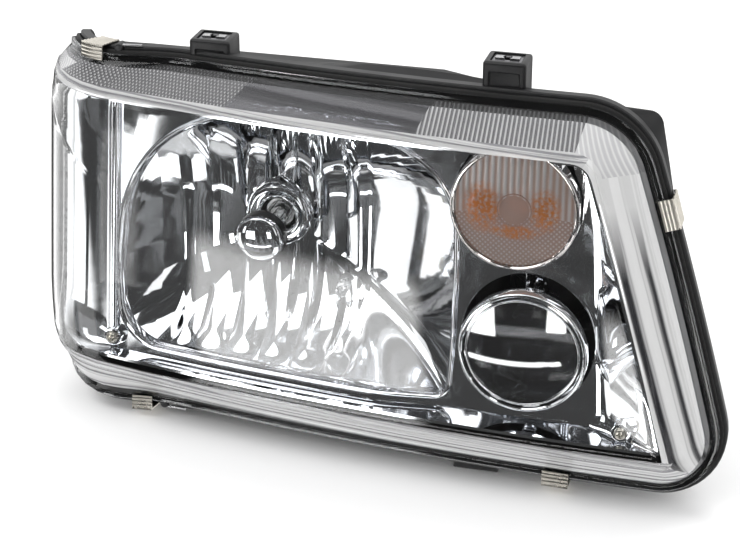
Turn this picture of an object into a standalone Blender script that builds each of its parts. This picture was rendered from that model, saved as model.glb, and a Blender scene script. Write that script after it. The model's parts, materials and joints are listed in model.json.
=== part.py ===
"""Right-hand car headlight assembly, in metres, +Z up, with its lens facing -Y.

The lens, the trim and the housing rim follow one swept surface. A point on it is given by s, its
distance across the lamp along the surface (inboard is +, the end that wraps round the wing is -),
by its height z, and by its depth d in front of the surface. Everything else is placed in x, y, z.
The design frame is moved at the end so that the world origin is the bottom centre of the lamp.
"""

import math

import bmesh
import bpy
from mathutils import Matrix, Vector

# The design frame's origin in the world.
DESIGN_ORIGIN = Vector((0.01157, -0.08703, 0.15000))

# The swept surface: a wide arc across the front, then a tight arc round the outboard corner.
LEAN = 0.163
LEAN_FOOT = -0.137
FRONT_RADIUS = 2.0
FRONT_START = 0.205
CORNER_START = -0.198
CORNER_RADIUS = 0.045
CORNER_END = math.radians(80)
RIM_RISE = 0.018
RIM_RISE_START = -0.150
RIM_RISE_LENGTH = 0.085

# Rounded outlines on the surface: bottom left, bottom right, top right, top left, as (s, z, radius).
RIM = ((-0.268, -0.137, 0.075), (0.250, -0.137, 0.040), (0.167, 0.113, 0.052), (-0.268, 0.108, 0.032))
WINDOW = ((-0.262, -0.107, 0.050), (0.209, -0.107, 0.006), (0.144, 0.092, 0.020), (-0.262, 0.090, 0.010))
TRIM_FACE = ((-0.207, -0.098, 0.020), (0.157, -0.096, 0.010), (0.141, 0.085, 0.012), (-0.207, 0.085, 0.012))
MAIN_OPENING = ((-0.192, -0.090, 0.030), (0.050, -0.0885, 0.008), (0.050, 0.078, 0.060), (-0.192, 0.078, 0.095))
BODY = ((-0.262, -0.129, 0.070), (0.240, -0.130, 0.032), (0.188, 0.106, 0.010), (-0.262, 0.106, 0.028))
BACK = ((-0.224, -0.124, 0.035), (0.192, -0.124, 0.018), (0.152, 0.088, 0.018), (-0.224, 0.088, 0.018))
ARC_STEPS = 4
EDGE_CUTS = (0.04, 0.08, 0.12, 0.165, 0.30, 0.45, 0.62, 0.80)
SIDE_CUTS = (1 / 3, 2 / 3)
SIDE_BOW = 0.0012

# Depths of the layers in front of (+) and behind (-) the rim surface.
LENS_FLANGE = 0.003
LENS_WALL = 0.003
SEAL_FRONT = -0.0038
SEAL_BACK = -0.0063
FLANGE_FRONT = -0.0066
FLANGE_BACK = -0.0140
FLANGE_OUTSET = 0.0045
CREASE_DEPTH = 0.0275
WINDOW_DEPTH = 0.030
CROWN_DEPTH = 0.035
BODY_DEPTH = -0.026
HOUSING_WALL = 0.003
BODY_INSIDE = 0.0045
BODY_CROWN = 0.010
BODY_CROWN_CENTRE = 0.015
BODY_CROWN_HALF = 0.120

# The back of the housing: deep behind the main lamp, stepped forward behind the two small lamps.
DEEP_BACK = 0.160
STEP_BACK = 0.100
STEP_FROM = 0.012
STEP_TO = 0.052
BACK_CUTS = (-0.150, -0.105, -0.060, -0.020, STEP_FROM, STEP_TO, 0.085, 0.120)

# The trim (bezel) inside the lens.
TRIM_WALL = 0.002
TRIM_LIP_DEPTH = 0.0235
TRIM_DEEP = 0.011
TRIM_SHALLOW = 0.003
TRIM_RAMP_FROM = 0.0
TRIM_RAMP_TO = 0.060
TRIM_CUTS = (-0.150, -0.100, -0.050, TRIM_RAMP_FROM, 0.030, TRIM_RAMP_TO, 0.090, 0.115)
TRIM_SKIRT = 0.007
INDICATOR_HOLE = 0.0436
FOG_HOLE = 0.0455

# Main lamp.
BULB = Vector((-0.091, 0.098, -0.007))
REFLECTOR_GAP = 0.016
REFLECTOR_OUTSET = 0.006
REFLECTOR_WALL = 0.0025
REFLECTOR_POWER = 2.3
NECK_RADIUS = 0.020
NECK_BACK = 0.107
GLARE_CAP_FRONT = 0.042
GLARE_CAP_RADIUS = 0.017
YAW_Y = 0.116
PITCH_Y = 0.108
BALL_Y = 0.112
ACTUATOR_Z = -0.090
FRAME_HALF_X = 0.082
FRAME_HALF_Z = 0.054
FRAME_BAR = 0.010
PIN_RADIUS = 0.0025
PIN_GAP = 0.0004

# Small lamps.
INDICATOR = Vector((0.0915, 0.0, 0.0465))
INDICATOR_FRONT = 0.0185
FOG = Vector((0.104, 0.0, -0.044))
FOG_FRONT = -0.0050
RING_RADIUS = 0.0430
GLASS_RADIUS = 0.0398
FOG_PIVOT_Y = 0.045
FOG_PIVOT_Z = 0.003
FOG_SCREW_Z = -0.098

# Rear covers and their collars.
MAIN_COLLAR_RADIUS = 0.052
MAIN_COLLAR_LENGTH = 0.018
FOG_COLLAR_RADIUS = 0.034
FOG_COLLAR_LENGTH = 0.014
COLLAR_WALL = 0.005
LUG_REACH = 0.0016

# Feet and tabs.
REST_Z = -0.150
FEET = (
    (-0.145, 0.057, 0.028, 0.016),
    (0.070, 0.026, 0.032, 0.016),
    (-0.185, 0.135, 0.022, 0.018),
    (0.140, 0.078, 0.022, 0.018),
)
TABS = (("left", -0.134, 0.089, 0.100, 0.1225), ("right", 0.075, 0.067, 0.108, 0.1330))
TAB_HALF_X = 0.0145
TAB_HALF_Y = 0.0120
BEZEL_SCREWS = (("right", 0.172, -0.0110, -0.0900), ("left", -0.197, 0.0310, -0.0880))
BOSS_LENGTH = 0.016
POST_START = 0.020
POST_LENGTH = 0.014
POST_HALF = 0.005
POST_HEAD = 0.0045
POST_FOOT = -0.131

ROUND = 20
MID_ROUND = 14
SMALL_ROUND = 8
MARGIN = 0.0003

# Body name: parent body and pivot. The joints turn or slide about these points.
BODIES = {
    "housing": (None, Vector((0.0, 0.0, 0.0))),
    "aim_frame": ("housing", Vector((BULB.x, YAW_Y, BULB.z))),
    "main_reflector": ("aim_frame", Vector((BULB.x, PITCH_Y, BULB.z))),
    "bulb_clip": ("main_reflector", Vector((BULB.x, 0.1112, BULB.z + 0.024))),
    "actuator_plunger": ("housing", Vector((BULB.x, BALL_Y, ACTUATOR_Z))),
    "vertical_adjuster": ("housing", Vector((BULB.x + 0.046, DEEP_BACK, ACTUATOR_Z))),
    "horizontal_adjuster": ("housing", Vector((BULB.x - 0.076, DEEP_BACK, 0.030))),
    "fog_lamp": ("housing", Vector((FOG.x, FOG_PIVOT_Y, FOG_PIVOT_Z))),
    "fog_adjuster": ("housing", Vector((FOG.x, STEP_BACK, FOG_SCREW_Z))),
    "main_cover": ("housing", Vector((BULB.x, DEEP_BACK, BULB.z))),
    "fog_cover": ("housing", Vector((FOG.x, STEP_BACK, FOG.z))),
    "indicator_holder": ("housing", Vector((INDICATOR.x, STEP_BACK, INDICATOR.z))),
}

MATERIALS = {
    "housing_black": ((0.022, 0.022, 0.024), 0.0, 0.55),
    "lens_clear": ((0.90, 0.92, 0.93), 0.0, 0.05),
    "seal_black": ((0.012, 0.012, 0.012), 0.0, 0.75),
    "chrome": ((0.83, 0.84, 0.86), 1.0, 0.06),
    "zinc": ((0.70, 0.66, 0.58), 1.0, 0.30),
    "steel": ((0.55, 0.55, 0.56), 1.0, 0.30),
    "carrier_grey": ((0.16, 0.16, 0.17), 0.0, 0.50),
    "knob_white": ((0.72, 0.72, 0.69), 0.0, 0.45),
    "amber": ((0.95, 0.38, 0.06), 0.0, 0.08),
    "bulb_glass": ((0.93, 0.94, 0.95), 0.0, 0.03),
    "lead_black": ((0.02, 0.02, 0.02), 0.0, 0.60),
}

nodes = {}


# ---- the swept surface -------------------------------------------------------------------


def smooth_step(value):
    t = min(max(value, 0.0), 1.0)
    return t * t * (3 - 2 * t)


def sweep(s):
    """Plan position of the surface at s, and how far its outward normal has turned outboard."""
    corner_angle = (FRONT_START - CORNER_START) / FRONT_RADIUS
    if s >= FRONT_START:
        return s, 0.0, 0.0
    if s >= CORNER_START:
        angle = (FRONT_START - s) / FRONT_RADIUS
        return FRONT_START - FRONT_RADIUS * math.sin(angle), FRONT_RADIUS * (1 - math.cos(angle)), angle
    hub = FRONT_RADIUS - CORNER_RADIUS
    centre_x = FRONT_START - hub * math.sin(corner_angle)
    centre_y = FRONT_RADIUS - hub * math.cos(corner_angle)
    angle = min(corner_angle + (CORNER_START - s) / CORNER_RADIUS, CORNER_END)
    straight = max(CORNER_START - s - (CORNER_END - corner_angle) * CORNER_RADIUS, 0.0)
    x = centre_x - CORNER_RADIUS * math.sin(angle) - straight * math.cos(angle)
    y = centre_y - CORNER_RADIUS * math.cos(angle) + straight * math.sin(angle)
    return x, y, angle


def on_surface(s, z, depth):
    x, y, angle = sweep(s)
    return Vector((x - math.sin(angle) * depth, y - math.cos(angle) * depth + LEAN * (z - LEAN_FOOT), z))


def rim_depth(s):
    return RIM_RISE * smooth_step((RIM_RISE_START - s) / RIM_RISE_LENGTH)


def trim_depth(s):
    ramp = (s - TRIM_RAMP_FROM) / (TRIM_RAMP_TO - TRIM_RAMP_FROM)
    return TRIM_DEEP + (TRIM_SHALLOW - TRIM_DEEP) * min(max(ramp, 0.0), 1.0)


# ---- outlines and rings ------------------------------------------------------------------


def moved_in(corners, inset):
    """The four corners with every side moved in by inset, and the radii shrunk to suit."""
    points = [Vector(corner[:2]) for corner in corners]
    moved = []
    for i, corner in enumerate(corners):
        before = (points[i] - points[i - 1]).normalized()
        after = (points[(i + 1) % 4] - points[i]).normalized()
        normal_before = Vector((-before.y, before.x))
        normal_after = Vector((-after.y, after.x))
        shift = inset / (1 + normal_before.dot(normal_after))
        place = points[i] + (normal_before + normal_after) * shift
        moved.append((place.x, place.y, max(corner[2] - inset, 0.002)))
    return moved


def corner_arc(previous, corner, following):
    """Points of the fillet at one corner, from the side before it to the side after it."""
    here = Vector(corner[:2])
    to_previous = (Vector(previous[:2]) - here).normalized()
    to_following = (Vector(following[:2]) - here).normalized()
    half = to_previous.angle(to_following) / 2
    centre = here + (to_previous + to_following).normalized() * (corner[2] / math.sin(half))
    start = here + to_previous * (corner[2] / math.tan(half)) - centre
    turn = math.pi - 2 * half
    angle = math.atan2(start.y, start.x)
    steps = [angle + turn * i / ARC_STEPS for i in range(ARC_STEPS + 1)]
    return [(centre.x + corner[2] * math.cos(a), centre.y + corner[2] * math.sin(a)) for a in steps]


def outline(corners, inset=0.0, cuts=EDGE_CUTS, places=None):
    """Rounded outline. Point i at the bottom faces point -1-i at the top.

    The bottom and top sides are cut at fractions of their length, or at given places across.
    """
    corners = moved_in(corners, inset)
    arcs = [corner_arc(corners[i - 1], corners[i], corners[(i + 1) % 4]) for i in range(4)]

    def between(start, end, t, bow=0.0):
        return start[0] + (end[0] - start[0]) * t + bow, start[1] + (end[1] - start[1]) * t

    def side(start, end):
        if places:
            return [between(start, end, (x - start[0]) / (end[0] - start[0])) for x in places]
        return [between(start, end, t) for t in cuts]

    def upright(start, end, bow):
        return [between(start, end, t, bow) for t in SIDE_CUTS]

    bottom = side(arcs[0][-1], arcs[1][0])
    top = side(arcs[3][0], arcs[2][-1])
    right = upright(arcs[1][-1], arcs[2][0], SIDE_BOW)
    left = upright(arcs[0][0], arcs[3][-1], -SIDE_BOW)
    return left[:1] + arcs[0] + bottom + arcs[1] + right + arcs[2] + top[::-1] + arcs[3] + left[1:]


def layer(corners, inset, depth, places=None):
    """A ring of (s, z, depth). The depth is a number or a rule of s."""
    ring = outline(corners, inset, places=places)
    return [(s, z, depth(s) if callable(depth) else depth) for s, z in ring]


def rim_layer(inset, depth, corners=RIM):
    return layer(corners, inset, lambda s: rim_depth(s) + depth)


def blend(first, second, t):
    return [tuple(a + (b - a) * t for a, b in zip(p, q)) for p, q in zip(first, second)]


def skin(rings):
    return [[on_surface(*point) for point in ring] for ring in rings]


def circle(centre, radius, toward):
    """A ring in an XZ plane whose points lie in the directions of the points of another ring."""
    ring = []
    for point in toward:
        way = Vector((point.x - centre.x, 0.0, point.z - centre.z)).normalized()
        ring.append(centre + way * radius)
    return ring


# ---- meshes ------------------------------------------------------------------------------


def loft(rings, closed=False):
    """Skin over rings of equal counts. An open loft is capped with strips between facing points."""
    mesh = bmesh.new()
    loops = [[mesh.verts.new(point) for point in ring] for ring in rings]
    count = len(loops[0])
    following = loops[1:] + loops[:1] if closed else loops[1:]
    for near, far in zip(loops, following):
        for i in range(count):
            j = (i + 1) % count
            mesh.faces.new((near[i], near[j], far[j], far[i]))
    if not closed:
        for loop in (loops[0], loops[-1]):
            for i in range(count // 2 - 1):
                mesh.faces.new((loop[i], loop[i + 1], loop[-2 - i], loop[-1 - i]))
    bmesh.ops.recalc_face_normals(mesh, faces=mesh.faces)
    return mesh


def turned(profile, centre, steps=ROUND, axis="Y"):
    """A solid of revolution. The profile is a closed loop of (radius, distance along the axis)."""
    turn_to = {
        "X": Matrix.Rotation(math.radians(90), 4, "Y"),
        "Y": Matrix.Rotation(math.radians(-90), 4, "X"),
        "Z": Matrix.Identity(4),
    }[axis]
    mesh = bmesh.new()
    angles = [2 * math.pi * i / steps for i in range(steps)]
    rings = []
    for radius, height in profile:
        spots = [(0.0, 0.0)] if radius == 0 else [(radius * math.cos(a), radius * math.sin(a)) for a in angles]
        rings.append([mesh.verts.new((x, y, height)) for x, y in spots])
    for near, far in zip(rings, rings[1:] + rings[:1]):
        for i in range(steps):
            j = (i + 1) % steps
            corners = [near[i % len(near)], near[j % len(near)], far[j % len(far)], far[i % len(far)]]
            corners = list(dict.fromkeys(corners))
            if len(corners) > 2:
                mesh.faces.new(corners)
    bmesh.ops.recalc_face_normals(mesh, faces=mesh.faces)
    bmesh.ops.transform(mesh, matrix=Matrix.Translation(centre) @ turn_to, verts=mesh.verts)
    return mesh


def rod(start, length, radius, axis="Y", steps=SMALL_ROUND):
    return turned(((0, 0), (radius, 0), (radius, length), (0, length)), start, steps, axis)


def tube_ring(start, length, inner, outer, axis="Y", steps=ROUND):
    return turned(((inner, 0), (outer, 0), (outer, length), (inner, length)), start, steps, axis)


def box(low, high, bevel=0.0):
    mesh = bmesh.new()
    bmesh.ops.create_cube(mesh, size=1.0)
    low, high = Vector(low), Vector(high)
    size = Matrix.Diagonal((*(high - low), 1.0))
    bmesh.ops.transform(mesh, matrix=Matrix.Translation((low + high) / 2) @ size, verts=mesh.verts)
    if bevel:
        bmesh.ops.bevel(mesh, geom=mesh.edges, offset=bevel, segments=1, affect="EDGES")
    return mesh


def spun(mesh, centre, degrees, axis="Y"):
    turn = Matrix.Rotation(math.radians(degrees), 4, axis)
    matrix = Matrix.Translation(centre) @ turn @ Matrix.Translation(-centre)
    bmesh.ops.transform(mesh, matrix=matrix, verts=mesh.verts)
    return mesh


# ---- objects -----------------------------------------------------------------------------


def clear_scene():
    for item in list(bpy.data.objects):
        bpy.data.objects.remove(item, do_unlink=True)


def make_materials():
    made = {}
    for name, (colour, metallic, roughness) in MATERIALS.items():
        material = bpy.data.materials.new(name)
        material.use_nodes = True
        shader = material.node_tree.nodes["Principled BSDF"]
        shader.inputs["Base Color"].default_value = (*colour, 1.0)
        shader.inputs["Metallic"].default_value = metallic
        shader.inputs["Roughness"].default_value = roughness
        made[name] = material
    for name in ("lens_clear", "bulb_glass", "amber"):
        made[name].node_tree.nodes["Principled BSDF"].inputs["Transmission Weight"].default_value = 0.9
    return made


def make_pivots():
    made = {}
    for name, (parent, pivot) in BODIES.items():
        empty = bpy.data.objects.new(name + "_pivot", None)
        empty.empty_display_size = 0.02
        bpy.context.scene.collection.objects.link(empty)
        if parent:
            empty.parent = made[parent]
            empty.location = pivot - BODIES[parent][1]
        else:
            empty.location = pivot + DESIGN_ORIGIN
        made[name] = empty
    return made


def attach(item, mesh, body):
    bmesh.ops.translate(mesh, vec=-BODIES[body][1], verts=mesh.verts)
    mesh.to_mesh(item.data)
    mesh.free()
    item.parent = pivots[body]
    bpy.context.scene.collection.objects.link(item)


def add(name, mesh, material, body="housing"):
    item = bpy.data.objects.new(name, bpy.data.meshes.new(name))
    attach(item, mesh, body)
    item.data.materials.append(materials[material])
    item.data.shade_smooth()
    item.data.set_sharp_from_angle(angle=math.radians(35))
    nodes[name] = (item, body)
    return item


def combine(name, mesh, operation):
    item, body = nodes[name]
    helper = bpy.data.objects.new(f"{name}_{operation.lower()}_{len(item.modifiers)}", bpy.data.meshes.new(name))
    attach(helper, mesh, body)
    helper.hide_render = True
    helper.display_type = "WIRE"
    modifier = item.modifiers.new(operation.lower(), "BOOLEAN")
    modifier.operation = operation
    modifier.solver = "EXACT"
    modifier.object = helper


def join(name, mesh):
    combine(name, mesh, "UNION")


def cut(name, mesh):
    combine(name, mesh, "DIFFERENCE")


# ---- lens, seal and clips ----------------------------------------------------------------


def lens_rings():
    """Outer face from the flange in to the crown, then the inner face back out to the flange."""
    foot = rim_layer(0.005, 0.0)
    crease = layer(WINDOW, 0.0, CREASE_DEPTH)
    outer = [rim_layer(0.0, -LENS_FLANGE), rim_layer(0.0, 0.0), foot, crease]
    insets = (0.0025, 0.014, 0.030, 0.050)
    inner_foot = rim_layer(0.008, -LENS_FLANGE)
    inner_crease = layer(WINDOW, 0.0045, WINDOW_DEPTH - 0.0035)
    inner = []
    for i, inset in enumerate(insets):
        depth = WINDOW_DEPTH + (CROWN_DEPTH - WINDOW_DEPTH) * math.sin(math.pi / 2 * i / (len(insets) - 1))
        outer.append(layer(WINDOW, inset, depth))
        if i > 0:
            inner.append(layer(WINDOW, inset, depth - LENS_WALL))
    return outer + inner[::-1] + [inner_crease, inner_foot]


def lens_shell(rings):
    """The outer crown is capped at its middle ring, and so is the inner crown."""
    half = len(rings) // 2
    outer, inner = rings[: half + 1], rings[half + 1 :]
    mesh = bmesh.new()
    loops = [[mesh.verts.new(point) for point in ring] for ring in outer + inner]
    count = len(loops[0])
    joins = list(zip(range(half), range(1, half + 1)))
    joins += list(zip(range(half + 1, len(loops) - 1), range(half + 2, len(loops))))
    joins.append((len(loops) - 1, 0))
    for near, far in joins:
        for i in range(count):
            j = (i + 1) % count
            mesh.faces.new((loops[near][i], loops[near][j], loops[far][j], loops[far][i]))
    for loop in (loops[half], loops[half + 1]):
        for i in range(count // 2 - 1):
            mesh.faces.new((loop[i], loop[i + 1], loop[-2 - i], loop[-1 - i]))
    bmesh.ops.recalc_face_normals(mesh, faces=mesh.faces)
    return mesh


def make_lens():
    add("lens", lens_shell(skin(lens_rings())), "lens_clear")
    seal = ((-0.0015, SEAL_FRONT), (-0.0015, SEAL_BACK), (0.0075, SEAL_BACK), (0.0075, SEAL_FRONT))
    add("lens_seal", loft(skin([rim_layer(inset, depth) for inset, depth in seal]), closed=True), "seal_black")


def rim_edge(start, end, t):
    """A point on a straight side of the rim, with the outward direction across the side."""
    first, last = Vector(RIM[start][:2]), Vector(RIM[end][:2])
    along = (last - first).normalized()
    return first + (last - first) * t, along, Vector((along.y, -along.x))


def make_clips():
    """Spring clips that pinch the lens flange, the seal and the housing flange together."""
    inside, outside, steel = -0.004, FLANGE_OUTSET + 0.0007, 0.0008
    front, back, tongue = 0.0009, FLANGE_BACK - 0.0009, 0.0036
    section = (
        (inside, front),
        (outside, front),
        (outside, back),
        (tongue, back),
        (tongue, back - steel),
        (outside + steel, back - steel),
        (outside + steel, front + steel),
        (inside, front + steel),
    )
    places = (("top_left", 3, 2, 0.125, 0.014), ("right", 2, 1, 0.256, 0.020))
    places += (("bottom_left", 0, 1, 0.173, 0.014), ("bottom_right", 0, 1, 0.765, 0.018))
    for name, start, end, t, length in places:
        centre, along, outward = rim_edge(start, end, t)
        if name in ("top_left", "right"):
            outward = -outward
        if name == "right":
            centre = centre + outward * SIDE_BOW
        rings = []
        for step in (-0.5, 0.0, 0.5):
            ring = []
            for out, depth in section:
                spot = centre + along * (step * length) + outward * out
                ring.append(on_surface(spot.x, spot.y, rim_depth(spot.x) + depth))
            rings.append(ring)
        add("lens_clip_" + name, loft(rings), "zinc")


# ---- housing -----------------------------------------------------------------------------


def body_crowned(ring):
    """Raises the top side of the body in a shallow arch."""
    raised = []
    for s, z, depth in ring:
        reach = (s - BODY_CROWN_CENTRE) / BODY_CROWN_HALF
        lift = BODY_CROWN * max(1 - reach * reach, 0.0) if z > 0.08 else 0.0
        raised.append((s, z + lift, depth))
    return raised


def back_ring(inset, forward):
    ring = []
    for x, z in outline(BACK, inset, places=BACK_CUTS):
        step = min(max((x - STEP_FROM) / (STEP_TO - STEP_FROM), 0.0), 1.0)
        ring.append(Vector((x, DEEP_BACK + (STEP_BACK - DEEP_BACK) * step - forward, z)))
    return ring


def housing_shell():
    front = [
        body_crowned(rim_layer(0.0, BODY_DEPTH, BODY)),
        rim_layer(0.001, FLANGE_BACK),
        rim_layer(-FLANGE_OUTSET, FLANGE_BACK),
        rim_layer(-FLANGE_OUTSET, FLANGE_FRONT),
        rim_layer(0.009, FLANGE_FRONT),
        rim_layer(0.009, FLANGE_BACK - 0.003),
        body_crowned(rim_layer(BODY_INSIDE, BODY_DEPTH - 0.002, BODY)),
    ]
    return loft([back_ring(0.0, 0.0)] + skin(front) + [back_ring(HOUSING_WALL, HOUSING_WALL)])


def collar(centre, back, radius, length):
    return tube_ring(Vector((centre.x, back - 0.002, centre.z)), length + 0.002, radius - COLLAR_WALL, radius)


def bayonet_lugs(centre, y, inner, outer):
    """Three short lugs round a collar or inside a cover."""
    lugs = []
    for turn in (0, 120, 240):
        low = centre + Vector((-0.006, y - centre.y, inner))
        lug = box(low, low + Vector((0.012, 0.0025, outer - inner)))
        lugs.append(spun(lug, centre, turn))
    return lugs


def add_collars():
    for centre, back, radius, length in (
        (BULB, DEEP_BACK, MAIN_COLLAR_RADIUS, MAIN_COLLAR_LENGTH),
        (FOG, STEP_BACK, FOG_COLLAR_RADIUS, FOG_COLLAR_LENGTH),
    ):
        join("housing", collar(centre, back, radius, length))
        for lug in bayonet_lugs(centre, back + 0.0065, radius - 0.001, radius + LUG_REACH):
            join("housing", lug)
        bore = radius - COLLAR_WALL
        cut("housing", rod(Vector((centre.x, back - 0.012, centre.z)), 0.020, bore, steps=ROUND))


def add_feet():
    for x, y, width, depth in FEET:
        top = -0.124 if y > 0.06 else -0.126
        foot = box((x - width / 2, y - depth / 2, REST_Z), (x + width / 2, y + depth / 2, top))
        join("housing", foot)


def add_tabs():
    for _, x, y, base, top in TABS:
        low = (x - TAB_HALF_X, y - TAB_HALF_Y, base)
        join("housing", box(low, (x + TAB_HALF_X, y + TAB_HALF_Y, top), 0.0015))
        pocket = box((x - 0.0105, y - 0.0085, top - 0.0030), (x + 0.0105, y + 0.0085, top + 0.01))
        cut("housing", pocket)
        slot = box((x - 0.0065, y - 0.0040, top - 0.0085), (x + 0.0065, y + 0.0040, top))
        cut("housing", slot)


def add_brackets():
    """Posts inside the housing that hold the yaw pins, the fog pivot and the trim screws."""
    for low, high in ((0.0555, 0.0635), (-0.0635, -0.0555)):
        post = box(
            (BULB.x - 0.008, YAW_Y - 0.008, BULB.z + low), (BULB.x + 0.008, DEEP_BACK - 0.002, BULB.z + high)
        )
        join("housing", post)
        hole = rod(Vector((BULB.x, YAW_Y, BULB.z + low - 0.002)), 0.012, PIN_RADIUS + PIN_GAP, "Z")
        cut("housing", hole)
    for side in (-1, 1):
        inner, outer = 0.0085, 0.0145
        x = sorted((FOG.x + side * inner, FOG.x + side * outer))
        ear = box((x[0], FOG_PIVOT_Y - 0.005, FOG_PIVOT_Z - 0.005), (x[1], STEP_BACK - 0.002, FOG_PIVOT_Z + 0.005))
        join("housing", ear)
    cut("housing", rod(Vector((FOG.x - 0.016, FOG_PIVOT_Y, FOG_PIVOT_Z)), 0.032, PIN_RADIUS + PIN_GAP, "X"))
    for _, x, y, z in BEZEL_SCREWS:
        start = y + POST_START
        join("housing", box((x - POST_HALF, start, POST_FOOT), (x + POST_HALF, start + POST_LENGTH, z + POST_HEAD)))
        cut("housing", rod(Vector((x, start - 0.002, z)), POST_LENGTH, 0.0022))


def add_rear_holes():
    holes = (
        (BODIES["horizontal_adjuster"][1], 0.0036),
        (BODIES["vertical_adjuster"][1], 0.0036),
        (BODIES["fog_adjuster"][1], 0.0032),
        (BODIES["indicator_holder"][1], 0.0150),
        (Vector((BULB.x, DEEP_BACK, ACTUATOR_Z)), 0.0135),
        (Vector((-0.196, DEEP_BACK, 0.058)), 0.0055),
    )
    for place, radius in holes:
        start = place - Vector((0, 0.008, 0))
        cut("housing", rod(start, 0.014, radius, steps=ROUND if radius > 0.01 else SMALL_ROUND))
    cut("housing", box((-0.040, DEEP_BACK - 0.008, 0.056), (-0.004, DEEP_BACK + 0.005, 0.074)))


def make_housing():
    add("housing", housing_shell(), "housing_black")
    add_collars()
    add_feet()
    add_tabs()
    add_brackets()
    add_rear_holes()


def make_tab_nuts():
    """Spring nuts that sit in the pockets of the upper tabs."""
    for name, x, y, _, top in TABS:
        low = (x - 0.0100, y - 0.0080, top - 0.0027)
        add("spring_nut_" + name, box(low, (x + 0.0100, y + 0.0080, top + 0.0006), 0.0004), "steel")
        cut("spring_nut_" + name, rod(Vector((x, y, top - 0.006)), 0.012, 0.0032, "Z"))


# ---- trim --------------------------------------------------------------------------------


def trim_rings():
    """Back of the face, out to the lip and back in to the front of the face."""
    back_face = layer(TRIM_FACE, -0.002, lambda s: trim_depth(s) - TRIM_WALL, TRIM_CUTS)
    back_lip = layer(WINDOW, 0.0070, TRIM_LIP_DEPTH)
    front_lip = layer(WINDOW, 0.0090, TRIM_LIP_DEPTH)
    front_face = layer(TRIM_FACE, 0.0, trim_depth, TRIM_CUTS)
    steps = (0.0, 0.5, 1.0)
    rings = [blend(back_face, back_lip, t) for t in steps]
    return rings + [blend(front_lip, front_face, t) for t in steps]


def make_bezel():
    add("bezel", loft(skin(trim_rings())), "chrome")
    skirt = [
        layer(MAIN_OPENING, -0.0020, lambda s: trim_depth(s) - 0.001),
        layer(MAIN_OPENING, -0.0020, lambda s: trim_depth(s) - TRIM_SKIRT),
    ]
    join("bezel", loft(skin(skirt)))
    opening = [layer(MAIN_OPENING, 0.0, 0.060), layer(MAIN_OPENING, 0.0, -0.040)]
    cut("bezel", loft(skin(opening)))
    for lamp, radius in ((INDICATOR, INDICATOR_HOLE), (FOG, FOG_HOLE)):
        cut("bezel", rod(Vector((lamp.x, -0.03, lamp.z)), 0.10, radius, steps=ROUND))
    for _, x, y, z in BEZEL_SCREWS:
        join("bezel", rod(Vector((x, y, z)), BOSS_LENGTH, 0.0065))
    for name, x, y, z in BEZEL_SCREWS:
        cut("bezel", rod(Vector((x, y - 0.01, z)), 0.04, 0.0026))
        head = ((0, -0.0028), (0.0030, -0.0028), (0.0042, -0.0014), (0.0042, -MARGIN), (0.0019, -MARGIN))
        shank = ((0.0019, 0.0310), (0, 0.0320))
        add("bezel_screw_" + name, turned(head + shank, Vector((x, y, z)), SMALL_ROUND), "zinc")


# ---- main lamp ---------------------------------------------------------------------------


def reflector_edge(outset):
    edge = layer(MAIN_OPENING, -outset, lambda s: trim_depth(s) - REFLECTOR_GAP)
    return skin([edge])[0]


def dish_ring(edge, centre, t):
    ring = []
    for point in edge:
        spot = centre + (point - centre) * t
        spot.y = centre.y + (point.y - centre.y) * t**REFLECTOR_POWER
        ring.append(spot)
    return ring


def make_main_reflector():
    inner_edge = reflector_edge(REFLECTOR_OUTSET)
    outer_edge = reflector_edge(REFLECTOR_OUTSET + REFLECTOR_WALL)
    vertex = BULB
    back_vertex = BULB + Vector((0, REFLECTOR_WALL, 0))
    steps = (1.0, 0.86, 0.66, 0.42)
    neck = [
        circle(Vector((BULB.x, BULB.y - 0.0010, BULB.z)), NECK_RADIUS, inner_edge),
        circle(Vector((BULB.x, NECK_BACK, BULB.z)), NECK_RADIUS, inner_edge),
        circle(Vector((BULB.x, NECK_BACK, BULB.z)), NECK_RADIUS + 0.004, inner_edge),
        circle(Vector((BULB.x, BULB.y + 0.0015, BULB.z)), NECK_RADIUS + 0.004, inner_edge),
    ]
    rings = [dish_ring(inner_edge, vertex, t) for t in steps] + neck
    rings += [dish_ring(outer_edge, back_vertex, t) for t in steps[::-1]]
    add("main_reflector", loft(rings, closed=True), "chrome", "main_reflector")
    for side in (-1, 1):
        x = sorted((BULB.x + side * 0.0620, BULB.x + side * 0.0680))
        join("main_reflector", box((x[0], 0.0780, BULB.z - 0.006), (x[1], 0.1145, BULB.z + 0.006)))
    hole = rod(Vector((BULB.x - 0.075, PITCH_Y, BULB.z)), 0.150, PIN_RADIUS + PIN_GAP, "X")
    cut("main_reflector", hole)
    arm = box((BULB.x - 0.0085, 0.0560, ACTUATOR_Z - 0.0085), (BULB.x + 0.0085, 0.1190, ACTUATOR_Z + 0.0085))
    join("main_reflector", arm)
    socket = rod(Vector((BULB.x, BALL_Y - 0.0062, ACTUATOR_Z)), 0.020, 0.0062)
    cut("main_reflector", socket)
    cut("main_reflector", rod(Vector((BULB.x + 0.052, 0.050, BULB.z - 0.043)), 0.06, 0.0075))


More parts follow.
